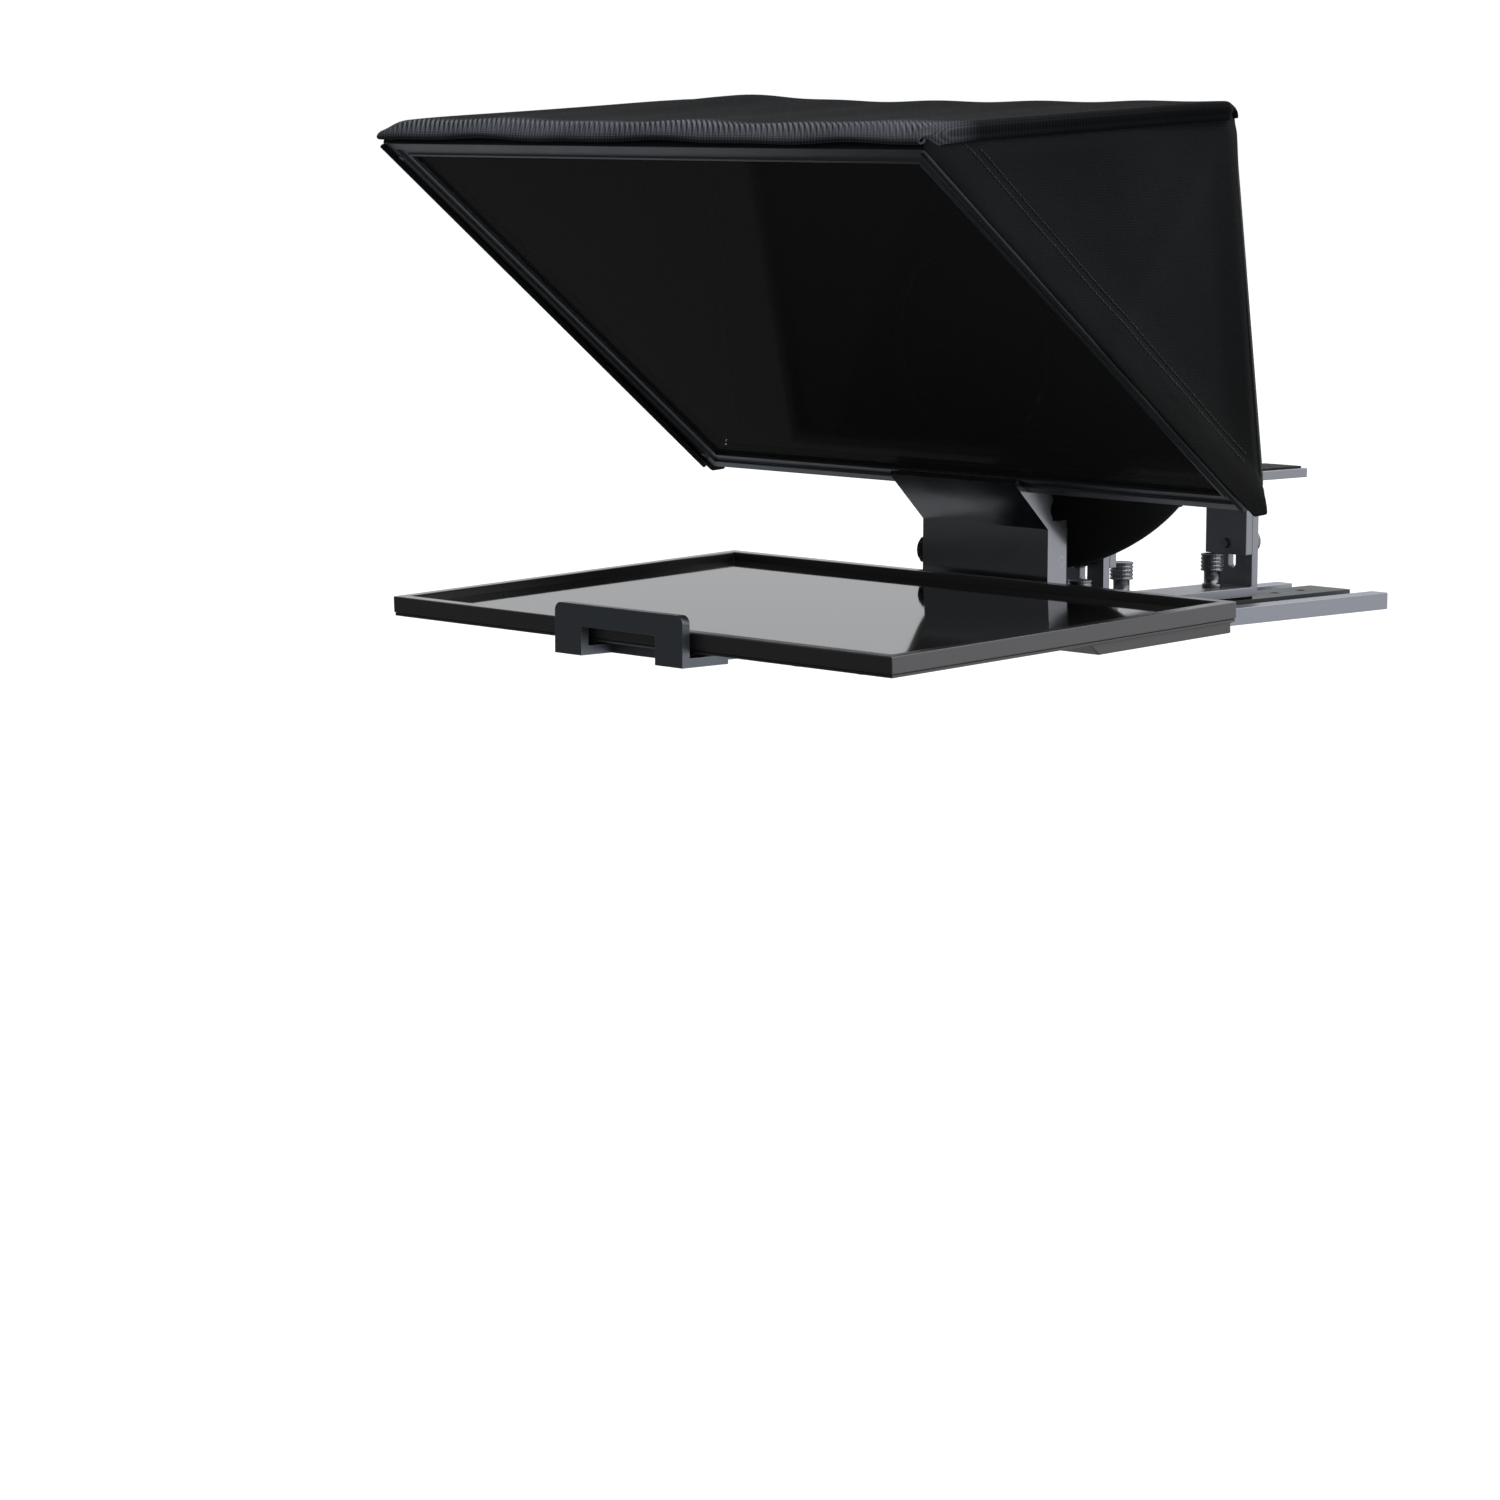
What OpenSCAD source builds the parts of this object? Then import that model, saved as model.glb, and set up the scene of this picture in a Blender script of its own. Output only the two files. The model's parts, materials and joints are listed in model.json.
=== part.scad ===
// Camera teleprompter: a flat monitor reflected in an angled beam-splitter glass under a folding hood,
// all on one base rail that a tripod carries, with a height-adjustable camera riser behind the glass.
// +Z is up, +Y points from the presenter to the camera, and the origin is the tripod thread's mouth.

/* [Base rail] */
// Width of the base rail
base_w = 96; // [90:1:110]
// Reach of the base rail in front of the tripod thread
base_front = 300; // [297:1:310]
// Reach of the base rail behind the tripod thread
base_rear = 209; // [190:1:240]
// Height of the base rail's flush top
base_h = 11; // [10.5:0.5:12]
// Thickness of the base floor
floor_t = 5; // [4.5:0.5:5.5]
// Width of each side rail
rail_w = 9.5; // [8:0.5:11]
// Width of the centre bar
bar_w = 34.6; // [32:0.2:36]

/* [Monitor] */
// Width of the monitor
monitor_w = 432; // [420:1:440]
// Depth of the monitor, front edge to back edge
monitor_d = 284.5; // [278:0.5:286]
// Thickness of the slim part of the monitor
monitor_t = 12.1; // [11.5:0.1:12.5]
// Extra depth of the electronics housing under the back half
bump_t = 6.5; // [6:0.1:7]
// Width of the raised bezel
bezel_w = 8; // [7:0.5:10]
// Height of the bezel above the screen
bezel_rise = 5; // [4:0.5:5.5]
// Nose-down pitch of the monitor
monitor_pitch = 2.2; // [2:0.1:2.4]
// Height of the monitor's top at its back edge
monitor_z = 42; // [41.5:0.5:43]

/* [Glass frame] */
// Rise of the glass above the horizontal
glass_pitch = 37.5; // [37:0.5:38]
// Outer width of the glass frame
frame_w = 460; // [455:1:464]
// Outer length of the glass frame along its slope
frame_len = 343.5; // [340:0.5:346]
// Thickness of the glass
glass_t = 3; // [2.8:0.1:3]
// Thickness of the frame rails
rail_t = 11; // [10.5:0.5:11]

/* [Hood] */
// Lean of the hood's rear hoop towards the presenter
hoop_lean = 8.3; // [8:0.1:8.6]
// Length of the hoop's legs
hoop_len = 220; // [217:1:220]
// Radius of the hoop's tube
hoop_r = 4; // [3.5:0.1:4]
// Radius of the round lens opening in the rear panel
lens_r = 60; // [50:1:62]

/* [Camera riser] */
// Width of the flat bar that the riser is bent from
strap_w = 35; // [30:1:36]
// Thickness of that flat bar
strap_t = 6; // [5:0.5:6]
// Height of the camera plate's underside
plate_z = 88; // [86:1:90]
// Radius of the knurled thumb nuts
nut_r = 7.5; // [6.5:0.5:8]

/* [Hidden] */
$fn = 48;
eps = 0.01;
gap = 0.05;            // running clearance round a shaft

stud_r = 3;            // M6 studs and screws
bolt_x = 27.9;         // centre of the groove on each side of the centre bar
lip_w = 4;             // inward lip of each side rail
lip_t = 4;
tee_w = 6.4;           // slot along the centre bar
tee_front = -45;
tee_rear = 125;
stem_w = 22;           // foot of the centre bar, under its overhang
hole_rows = [150.6, 176.6];   // accessory holes at the bar's rear end
accessory_r = 3.3;
tripod_r = 3.97;       // 3/8 inch tripod thread
bush_r = 7;
bar_screw_rows = [-287, -120, 195];

monitor_y = -135.5;    // back edge of the monitor
inner_w = monitor_w - 2 * bezel_w;
inner_d = monitor_d - 2 * bezel_w;
bump_front = 116;      // reach of the housing in front of the back edge
bump_step = 8;
bump_side = 2;
wall = 2;
split_z = monitor_t - wall;    // seam between the bezel frame and the back shell
back_inset = 0.5;
board_x = [-80, 160];
board_y = [-100, -25];
board_z = 4.2;         // board above the outside of the housing's floor
board_t = 1.6;
plug_r = 4.5;          // power inlet
plug_bore = 2.75;
socket_x = 120;
video_x = socket_x + 13;
video_w = 20;
video_h = 4.5;
inlet_depth = 4.2;
vesa = 75;             // hole spacing of the monitor's mounting pattern
vesa_y = -60;
vesa_size = 100;
vesa_plate_t = 3;
wedge_w = 90;
button_x = 185;
button_y = -40;
button_r = 5;

clamp_w = 111;
clamp_t = 5.5;
clamp_tongue_t = 4.8;  // thinner at the rear, where it passes under the monitor's plate
clamp_lip_z = 41;
clamp_corner = 5;
clamp_gap = 2.4;       // rubber between the clamp and the monitor
clamp_window = 64;
clamp_window_z = 28;
clamp_leg = 30;        // length of the two legs behind the bend
clamp_tail = -234;
clamp_knob_y = -252;
clamp_knob_r = 9;
clamp_knob_t = 8;
clamp_travel = 35;

bracket_y = -124.6;    // front face of the glass bracket
bracket_z = 14;
bracket_w = 107.6;
sheet_t = 3;
fold_z = 72.5;
fold_lean = 45.6;      // lean of the folded part from the vertical
fold_len = 42;
flange_d = 16.4;
pivot_y = -112.8;
pivot_z = 52;
guide_z = 66.5;
guide_r = 2.5;
guide_slack = 1.2;     // half length of the guide slot between its round ends
post_y = -117;         // front face of the post inside the bracket
post_w = 101.2;
post_top = 72;
post_foot_rear = -52;
post_nut_y = -68;

frame_y = -140.8;      // lower front edge of the glass frame
frame_z = 95.9;
strip_w = 6;           // raised outer strip of a rail
channel_d = 1.5;
rail_face = 13.2;
bead_w = 1.8;
bead_d = 0.6;
groove_x = 9;          // glass groove inside the rail
groove_front = 2.8;
groove_back = 7.2;
glass_edge = 9.2;
glass_front = 3;
screw_in = 3;
corner_in = 14;

hinge_y = -128;        // hoop pivot
hinge_z = 106;
hoop_x = 222;
hoop_corner = 14;
cloth_t = 1.5;
hood_x = 231;          // inner face of the hood's side panels
hood_front = [-417.4, 309.2];
hood_brow = [-403, 317.6];
hood_rear_top = [-162.5, 331];
hood_rear_low = [-129.5, 96.9];
hood_chin = [-140, 92.6];
lens_up = 76;          // height of the lens opening along the hoop
sleeve_front = [128, 84, 85];   // half width, half height and height along the hoop
sleeve_back = [128, 86];        // half width and half height where the sleeve is fullest
sleeve_back_pos = [-58, 120];
sleeve_end = [40, 72];          // half width and half height of the gathered opening
sleeve_end_pos = [12, 10];      // opening from the fullest ring: further back and up
sleeve_lean = -22;
sleeve_t = 2;

foot_z = 13;           // underside of the riser's feet, on their pads
rear_leg_y = 107;
front_leg_y = -29;
foot_rear = 76;        // reach of each foot inwards from its leg
foot_front = 55;
pad_x = 15;            // half width of the riser's pads
front_nut_y = 1;
rear_nut_y = 88;
leg_top = 73;
slot_low = 30.5;
slot_high = 68;
bridge_low = 40;
height_z = 47;
long_shoulder = 9;     // shoulder of the rear height knob
short_shoulder = 2;
plate_front = -45;
plate_rear = 161;
pad_t = 1.5;
camera_y = 45;
camera_r = 3.175;      // 1/4 inch camera thread
camera_neck = 2.9;     // undercut that keeps the screw captive
camera_reach = 8;
web_slot = [8, 82];

black = "#1f2226";
slate = "#3a3f45";
edge_grey = "#8b8f98";
cloth = "#191b1e";
steel = "#a8abb0";

// ---------- helpers ----------
module at(x, y, z) { translate([x, y, z]) children(); }
module along_x(r, x0, x1) { at(x0, 0, 0) rotate([0, 90, 0]) cylinder(r = r, h = x1 - x0); }
module along_y(r, y0, y1) { at(0, y1, 0) rotate([90, 0, 0]) cylinder(r = r, h = y1 - y0); }
module box(x0, x1, y0, y1, z0, z1) { at(x0, y0, z0) cube([x1 - x0, y1 - y0, z1 - z0]); }
// Cutter for a slot with round ends: from y0 to y1 along Y and from z0 to z1 through the sheet.
module slot(r, y0, y1, z0, z1) {
    for (y = [y0, y1]) at(0, y, z0) cylinder(r = r, h = z1 - z0);
    box(-r, r, y0, y1, z0, z1);
}
module mirrored() { for (s = [0, 1]) mirror([s, 0, 0]) children(); }
// Extrudes an outline drawn in Y and Z across X.
module side_cut(x0, x1) { at(x0, 0, 0) rotate([90, 0, 90]) linear_extrude(x1 - x0) children(); }
module in_monitor() { at(0, monitor_y, monitor_z) rotate([monitor_pitch, 0, 0]) children(); }
module in_frame() { at(0, frame_y, frame_z) rotate([-glass_pitch, 0, 0]) children(); }
module in_hoop() { at(0, hinge_y, hinge_z) rotate([hoop_lean, 0, 0]) children(); }

// Knurled thumb nut standing on z = 0: collar, neck and ringed head, with a bore for its stud.
nut_collar = 2.5;
nut_neck = 8.5;
nut_head = 11;
module thumb_nut(r, bore) {
    rings = 4;
    ring = nut_head / (2 * rings + 1);
    difference() {
        union() {
            cylinder(r = r - 1, h = nut_collar);
            cylinder(r = r - 2.2, h = nut_neck + nut_collar);
            at(0, 0, nut_neck + nut_collar) cylinder(r = r - 0.5, h = nut_head);
            for (i = [0 : rings]) at(0, 0, nut_neck + nut_collar + 2 * i * ring) cylinder(r = r, h = ring);
        }
        at(0, 0, -eps) cylinder(r = bore, h = nut_collar + nut_neck + nut_head - 2);
    }
}
// Fluted hand knob of radius r and thickness t, standing on z = 0, round a stud that runs below it.
knob_lift = 0.2;       // air between a knob and the face it tightens on
knob_bevel = 1.5;
flute_r = 1.6;
module hand_knob(r, t, flutes, stud, stud_len) {
    difference() {
        union() {
            cylinder(r = r, h = t - knob_bevel);
            at(0, 0, t - knob_bevel) cylinder(r1 = r, r2 = r - knob_bevel, h = knob_bevel);
        }
        for (i = [0 : flutes - 1]) rotate(i * 360 / flutes)
            at(r + flute_r / 3, 0, -eps) cylinder(r = flute_r, h = t + 1);
    }
    at(0, 0, -stud_len) cylinder(r = stud, h = stud_len + eps);
}

// ---------- base rail ----------
module base_channel() {
    color(edge_grey) difference() {
        union() {
            box(-base_w / 2, base_w / 2, -base_front, base_rear, 0, floor_t);
            mirrored() box(base_w / 2 - rail_w, base_w / 2, -base_front, base_rear, floor_t - eps, base_h);
            mirrored() box(base_w / 2 - rail_w - lip_w, base_w / 2 - rail_w + eps, -base_front, base_rear,
                base_h - lip_t, base_h);
        }
        at(0, 0, -eps) cylinder(r = bush_r, h = floor_t + 1);
        mirrored() at(bolt_x, 0, 0)
            slot(stud_r + 0.3, clamp_knob_y - clamp_travel, clamp_knob_y, -1, floor_t + 1);
        for (y = bar_screw_rows) at(0, y, 0) countersink();
        mirrored() at(bolt_x, wedge_screw_y, 0) countersink();
    }
}
// Screw hole up through the floor, with a recess for the head.
head_r = 5;
head_t = 3;
head_sink = 0.3;       // depth of the head's face below the underside
shank_r = 2.5;
module countersink() {
    at(0, 0, -eps) cylinder(r = shank_r + gap, h = floor_t + 1);
    at(0, 0, -eps) cylinder(r = head_r + gap, h = head_t);
}
// Screw of the stated height above the underside, with its head in the recess.
module sunk_screw(top) {
    at(0, 0, head_sink) cylinder(r = head_r, h = head_t - head_sink - gap);
    at(0, 0, head_t - 2 * head_sink) cylinder(r = shank_r, h = top - head_t + 2 * head_sink);
}
module centre_bar() {
    color(slate) difference() {
        union() {
            box(-stem_w / 2, stem_w / 2, -base_front, base_rear - 2, floor_t, base_h);
            box(-bar_w / 2, bar_w / 2, -base_front, base_rear - 2, base_h - lip_t, base_h);
        }
        box(-tee_w / 2, tee_w / 2, tee_front, tee_rear, floor_t - 1, base_h + 1);
        box(-tee_w, tee_w, tee_front, tee_rear, floor_t - 1, base_h - lip_t + 1);
        for (y = hole_rows) at(0, y, floor_t - 1) cylinder(r = accessory_r, h = base_h);
        for (y = bar_screw_rows) at(0, y, floor_t - 1) cylinder(r = shank_r, h = base_h - floor_t);
    }
}
module bar_screws() { color(steel) for (y = bar_screw_rows) at(0, y, 0) sunk_screw(base_h - 2); }
module tripod_bush() {
    color(steel) difference() {
        cylinder(r = bush_r, h = floor_t);
        at(0, 0, -eps) cylinder(r = tripod_r, h = floor_t + 1);
    }
}

// ---------- monitor ----------
module monitor_back() {
    color("#55545a") in_monitor() difference() {
        union() {
            box(-monitor_w / 2 + back_inset, monitor_w / 2 - back_inset, -monitor_d + back_inset, -back_inset,
                -monitor_t, -split_z);
            side_cut(-monitor_w / 2 + bump_side, monitor_w / 2 - bump_side) polygon([
                [-bump_front - bump_step, -monitor_t + eps], [-bump_front, -monitor_t - bump_t],
                [-3, -monitor_t - bump_t], [-3, -monitor_t + eps]]);
        }
        box(-inner_w / 2, inner_w / 2, -bump_front + wall, -bezel_w, -monitor_t - bump_t + wall, 0);
        for (x = [-1, 1], y = [-1, 1])
            at(x * vesa / 2, vesa_y + y * vesa / 2, -monitor_t - bump_t - 1) cylinder(r = 2, h = wall + 1.5);
        at(socket_x, vesa_y, -monitor_t - bump_t - 1) cylinder(r = plug_r, h = wall + 2);
        box(video_x, video_x + video_w, vesa_y - video_h, vesa_y + video_h,
            -monitor_t - bump_t - 1, -monitor_t);
        at(button_x, button_y, -monitor_t - bump_t - 1) cylinder(r = button_r + 0.2, h = wall + 2);
    }
}
module monitor_bezel() {
    color("#1f1f21") in_monitor() difference() {
        box(-monitor_w / 2, monitor_w / 2, -monitor_d, 0, -split_z, 0);
        box(-inner_w / 2, inner_w / 2, -monitor_d + bezel_w, -bezel_w, -monitor_t, 1);
    }
}
module screen_panel() {
    color("#9b9b9b") in_monitor()
        box(-inner_w / 2 + 0.2, inner_w / 2 - 0.2, -monitor_d + bezel_w + 0.2, -bezel_w - 0.2,
            -monitor_t + wall, -bezel_rise);
}
module circuit_board() {
    color("#2d5a3c") in_monitor() at(0, 0, -monitor_t - bump_t + board_z)
        box(board_x[0], board_x[1], board_y[0], board_y[1], 0, board_t);
}
module power_inlet() {
    color(black) in_monitor() at(socket_x, vesa_y, -monitor_t - bump_t) {
        difference() {
            cylinder(r = plug_r, h = inlet_depth);
            at(0, 0, -eps) cylinder(r = plug_bore, h = inlet_depth - 0.8);
        }
        cylinder(r = 1, h = inlet_depth - 0.4);
    }
}
module video_inlet() {
    color(steel) in_monitor() at(video_x, vesa_y, -monitor_t - bump_t) difference() {
        box(0, video_w, -video_h, video_h, 0, inlet_depth);
        box(2, video_w - 2, 1.7 - video_h, video_h - 1.7, -1, inlet_depth - 0.8);
    }
}
module power_button() {
    color(black) in_monitor() at(button_x, button_y, -monitor_t - bump_t - 0.8) {
        cylinder(r = button_r, h = 3);
        at(0, 0, 2.9) cylinder(r = button_r - 2, h = 1.2);
    }
}
module vesa_plate() {
    color(black) in_monitor() difference() {
        box(-vesa_size / 2, vesa_size / 2, vesa_y - vesa_size / 2, vesa_y + vesa_size / 2,
            -monitor_t - bump_t - vesa_plate_t, -monitor_t - bump_t);
        for (x = [-1, 1], y = [-1, 1]) at(x * vesa / 2, vesa_y + y * vesa / 2, -monitor_t - 2 * bump_t)
            cylinder(r = 2, h = 10);
    }
}
module vesa_screws() {
    color(steel) in_monitor() for (x = [-1, 1], y = [-1, 1])
        at(x * vesa / 2, vesa_y + y * vesa / 2, -monitor_t - bump_t - vesa_plate_t) cylinder(r = 2, h = 4.9);
}
// Wedge block that fills the slanting space between the base rail and the monitor's plate.
wedge_front = -232;
wedge_back = -158;
wedge_screw_y = -195;
wedge_bite = 4;        // reach of the wedge's screws above the base rail
function under_plate(y) = monitor_z + (y - monitor_y) * tan(monitor_pitch)
    - (monitor_t + bump_t + vesa_plate_t) / cos(monitor_pitch);
module monitor_wedge() {
    color(slate) difference() {
        side_cut(-wedge_w / 2, wedge_w / 2) polygon([
            [wedge_front, base_h], [wedge_back, base_h],
            [wedge_back, under_plate(wedge_back)], [wedge_front, under_plate(wedge_front)]]);
        mirrored() at(bolt_x, wedge_screw_y, base_h - 1) cylinder(r = shank_r, h = wedge_bite + 1.5);
    }
}
module wedge_screws() {
    color(steel) mirrored() at(bolt_x, wedge_screw_y, 0) sunk_screw(base_h + wedge_bite);
}

// ---------- front clamp ----------
clamp_y = monitor_y - monitor_d * cos(monitor_pitch) - clamp_gap - clamp_t;
module front_clamp() {
    clamp_back = clamp_y + clamp_leg + clamp_t;
    color(slate) difference() {
        union() {
            at(0, clamp_y + clamp_t, 0) rotate([90, 0, 0]) linear_extrude(clamp_t) union() {
                at(-clamp_w / 2, base_h, 0) square([clamp_w, clamp_lip_z - clamp_corner - base_h]);
                at(-clamp_w / 2 + clamp_corner, base_h, 0)
                    square([clamp_w - 2 * clamp_corner, clamp_lip_z - base_h]);
                mirrored() at(clamp_w / 2 - clamp_corner, clamp_lip_z - clamp_corner, 0)
                    circle(r = clamp_corner);
            }
            box(-clamp_w / 2, clamp_w / 2, clamp_y, clamp_back, base_h, base_h + clamp_t);
            box(-clamp_window / 2 - 8, clamp_window / 2 + 8, clamp_back - eps, clamp_tail, base_h,
                base_h + clamp_tongue_t);
        }
        box(-clamp_window / 2, clamp_window / 2, clamp_y - 1, clamp_y + clamp_t + 18, base_h - 1,
            base_h + clamp_t + 1);
        box(-clamp_window / 2, clamp_window / 2, clamp_y - 1, clamp_y + clamp_t + 1,
            base_h - 1, clamp_window_z);
        mirrored() at(bolt_x, clamp_knob_y, base_h - 1) cylinder(r = stud_r, h = clamp_t + 2);
    }
}
module clamp_pads() {
    color(black) {
        mirrored() box(clamp_window / 2 + 2, clamp_w / 2 - 4,
            clamp_y + clamp_t, clamp_y + clamp_t + clamp_gap - 0.2, base_h + clamp_t + 3, clamp_lip_z - 12);
        mirrored() box(clamp_window / 2 + 2, clamp_w / 2 - 4, clamp_y + clamp_t + 4, clamp_y + clamp_t + 20,
            base_h + clamp_t, base_h + clamp_t + 2);
    }
}
module clamp_knob() {
    at(0, clamp_knob_y, 0) mirror([0, 0, 1]) at(0, 0, knob_lift)
        hand_knob(clamp_knob_r, clamp_knob_t, 10, stud_r - gap, base_h + clamp_t - 1);
}
module clamp_knob_left() { color(black) at(-bolt_x, 0, 0) clamp_knob(); }
module clamp_knob_right() { color(black) at(bolt_x, 0, 0) clamp_knob(); }

// ---------- glass bracket and its post ----------
module glass_post() {
    color(black) difference() {
        union() {
            box(-post_w / 2, post_w / 2, post_y, post_y + sheet_t, base_h, post_top);
            mirrored() box(post_w / 2 - sheet_t, post_w / 2, post_y, post_y + 13, base_h, post_top);
            box(-40, 40, post_y, post_foot_rear, base_h, base_h + sheet_t);
        }
        at(0, pivot_y, pivot_z) {
            along_x(stud_r + gap, -post_w, -post_w / 2 + 2 * sheet_t);
            along_x(stud_r, post_w / 2 - 2 * sheet_t, post_w);
        }
        at(0, pivot_y, guide_z) along_x(guide_r, -post_w, -post_w / 2 + 2 * sheet_t);
        mirrored() at(bolt_x, post_nut_y, base_h - 1) cylinder(r = stud_r + 0.3, h = sheet_t + 2);
    }
}
// T-headed bolts in the base grooves, up through a foot.
module tee_bolt(x, y, reach) {
    at(x, y, 0) {
        cylinder(r = stud_r, h = reach);
        box(-7, 7, -7, 7, 0, 1.7);
    }
}
module post_bolts() {
    color(steel) mirrored() at(0, 0, floor_t + 0.1)
        tee_bolt(bolt_x, post_nut_y, base_h + sheet_t + 10 - floor_t);
}
module post_nut() { thumb_nut(nut_r, stud_r + gap); }
module post_nut_left() { color(steel) at(-bolt_x, post_nut_y, base_h + sheet_t) post_nut(); }
module post_nut_right() { color(steel) at(bolt_x, post_nut_y, base_h + sheet_t) post_nut(); }
module guide_screw() {
    color(steel) at(0, pivot_y, guide_z) {
        along_x(guide_r, -bracket_w / 2 - 1, -post_w / 2 + sheet_t);
        along_x(guide_r + 1.5, -bracket_w / 2 - 3.5, -bracket_w / 2 - 0.1);
    }
}
module pivot_pin() {
    color(steel) at(0, pivot_y, pivot_z) along_x(stud_r, post_w / 2 - sheet_t, bracket_w / 2);
}
module tilt_knob() {
    color(black) at(-bracket_w / 2 - 0.1, pivot_y, pivot_z) rotate([0, -90, 0])
        hand_knob(9.5, 9, 14, stud_r, (bracket_w - post_w) / 2 + sheet_t);
}
module glass_bracket() {
    s = sin(fold_lean);
    c = cos(fold_lean);
    fold_top = [bracket_y - fold_len * s, fold_z + fold_len * c];
    half_bend = sheet_t * tan(fold_lean / 2);
    color(black) difference() {
        union() {
            side_cut(-bracket_w / 2, bracket_w / 2) polygon([
                [bracket_y, bracket_z], [bracket_y, fold_z], fold_top,
                fold_top + sheet_t * [c, s], [bracket_y + sheet_t, fold_z + half_bend],
                [bracket_y + sheet_t, bracket_z]]);
            mirrored() side_cut(bracket_w / 2 - sheet_t, bracket_w / 2) bracket_cheek(fold_top);
            in_frame() box(-bracket_w / 2 + 1, bracket_w / 2 - 1, -rail_face, -1, -2.6, 0);
        }
        in_frame() box(-bracket_w, bracket_w, -40, 0, 0, rail_t);
        at(0, pivot_y, pivot_z) along_x(stud_r + gap, -bracket_w, bracket_w);
        at(0, pivot_y, guide_z) rotate([0, -90, 0])
            slot(guide_r + 0.4, -guide_slack, guide_slack, post_w / 2, bracket_w);
        for (x = bracket_screw_x) in_frame() at(x, -screw_in, -2.4) cylinder(r = 1.25, h = 5);
    }
}
// Cheek of the bracket: a straight flange, then a gusset that meets the frame, with a relief between.
module bracket_cheek(fold_top) {
    flange_rear = bracket_y + flange_d;
    difference() {
        polygon([
            [bracket_y, bracket_z], [flange_rear, bracket_z], [flange_rear, fold_z + 5],
            [bracket_y + 3.6, fold_z + 5], [bracket_y + 4.1, fold_z + 19], [-133.6, 104.1],
            [frame_y, frame_z], fold_top, [bracket_y, fold_z]]);
        at(bracket_y + 9.5, fold_z + 12, 0) circle(r = 7.4);
    }
}
bracket_screw_x = [-35, 0, 35];
module bracket_screws() {
    color(steel) in_frame() for (x = bracket_screw_x) at(x, -screw_in, 0) {
        at(0, 0, rail_t) cylinder(r = 2.6, h = 1.6);
        at(0, 0, -2.3) cylinder(r = 1.2, h = rail_t + 2.4);
    }
}

// ---------- glass frame ----------
// Frame coordinates: X across, -Y up the slope, +Z out of the back of the glass.
module rail_outline() {
    polygon([
        [0, 0], [-strip_w, 0], [-strip_w, channel_d], [-rail_face + bead_w, channel_d],
        [-rail_face + bead_w, bead_d], [-rail_face, bead_d], [-rail_face, groove_front],
        [-groove_x, groove_front], [-groove_x, groove_back], [-rail_face, groove_back],
        [-rail_face, rail_t - 2], [-rail_face + 3, rail_t], [0, rail_t]]);
}
// A rail of the stated length with mitred ends: outer edge on Y = 0, inner edge towards -Y.
module mitred_rail(len) {
    reach = 2 * rail_face;
    intersection() {
        side_cut(-len / 2, len / 2) rail_outline();
        at(0, 0, -1) linear_extrude(rail_t + 2) polygon([
            [-len / 2, 0], [len / 2, 0], [len / 2 - reach, -reach], [-len / 2 + reach, -reach]]);
    }
}
module frame_rail_bottom() {
    color(slate) in_frame() difference() {
        mitred_rail(frame_w);
        for (x = bracket_screw_x) at(x, -screw_in, -1) cylinder(r = 1.25, h = rail_t + 2);
    }
}
module frame_rail_top() { color(slate) in_frame() at(0, -frame_len, 0) rotate(180) mitred_rail(frame_w); }
module side_rail() {
    in_frame() difference() {
        at(frame_w / 2, -frame_len / 2, 0) rotate(-90) mitred_rail(frame_len);
        for (y = [-corner_in, -frame_len + corner_in])
            at(frame_w / 2 - screw_in, y, -1) cylinder(r = 1.2, h = 5);
    }
}
module frame_rail_left() { color(slate) mirror([1, 0, 0]) side_rail(); }
module frame_rail_right() { color(slate) side_rail(); }
module beam_splitter() {
    color("#20242a", 0.5) in_frame()
        box(-frame_w / 2 + glass_edge, frame_w / 2 - glass_edge, -frame_len + glass_edge, -glass_edge,
            glass_front, glass_front + glass_t);
}
module glass_gasket() {
    color(black) in_frame() difference() {
        box(-frame_w / 2 + glass_edge, frame_w / 2 - glass_edge, -frame_len + glass_edge, -glass_edge,
            glass_front + glass_t, groove_back);
        box(-frame_w / 2 + rail_face, frame_w / 2 - rail_face, -frame_len + rail_face, -rail_face, 0, rail_t);
    }
}
module corner_screws() {
    color(steel) in_frame() mirrored() for (y = [-corner_in, -frame_len + corner_in])
        at(frame_w / 2 - screw_in, y, 0) {
            at(0, 0, -0.7) cylinder(r = 1.9, h = 0.7);
            cylinder(r = 1.2, h = 4);
        }
}
// Ears on the back of the lower rail, which carry the hoop's pins.
ear_x = 213;
ear_t = 3;
ear_r = 4;
pin_r = 2.5;
module hinge_ears() {
    s = sin(glass_pitch);
    c = cos(glass_pitch);
    dy = hinge_y - frame_y;
    dz = hinge_z - frame_z;
    pivot = [dy * c - dz * s, dy * s + dz * c];     // the pivot in frame coordinates
    color(black) difference() {
        in_frame() mirrored() {
            side_cut(ear_x, ear_x + ear_t) union() {
                at(pivot[0], pivot[1], 0) circle(r = ear_r);
                polygon([[-12, rail_t], [-1, rail_t], [pivot[0] + 2, pivot[1] - 4], [pivot[0] - 2, pivot[1] + 4],
                    [-12, rail_t + 3]]);
            }
            box(ear_x - 9, ear_x + eps, -12, -1, rail_t, rail_t + 2);
        }
        at(0, hinge_y, hinge_z) along_x(pin_r, -250, 250);
    }
}
module hinge_pins() {
    color(steel) mirrored() at(0, hinge_y, hinge_z) {
        along_x(pin_r, ear_x - 1, hoop_x + 3);
        along_x(pin_r + 1.5, hoop_x + 2.6, hoop_x + 4);
    }
}

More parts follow.
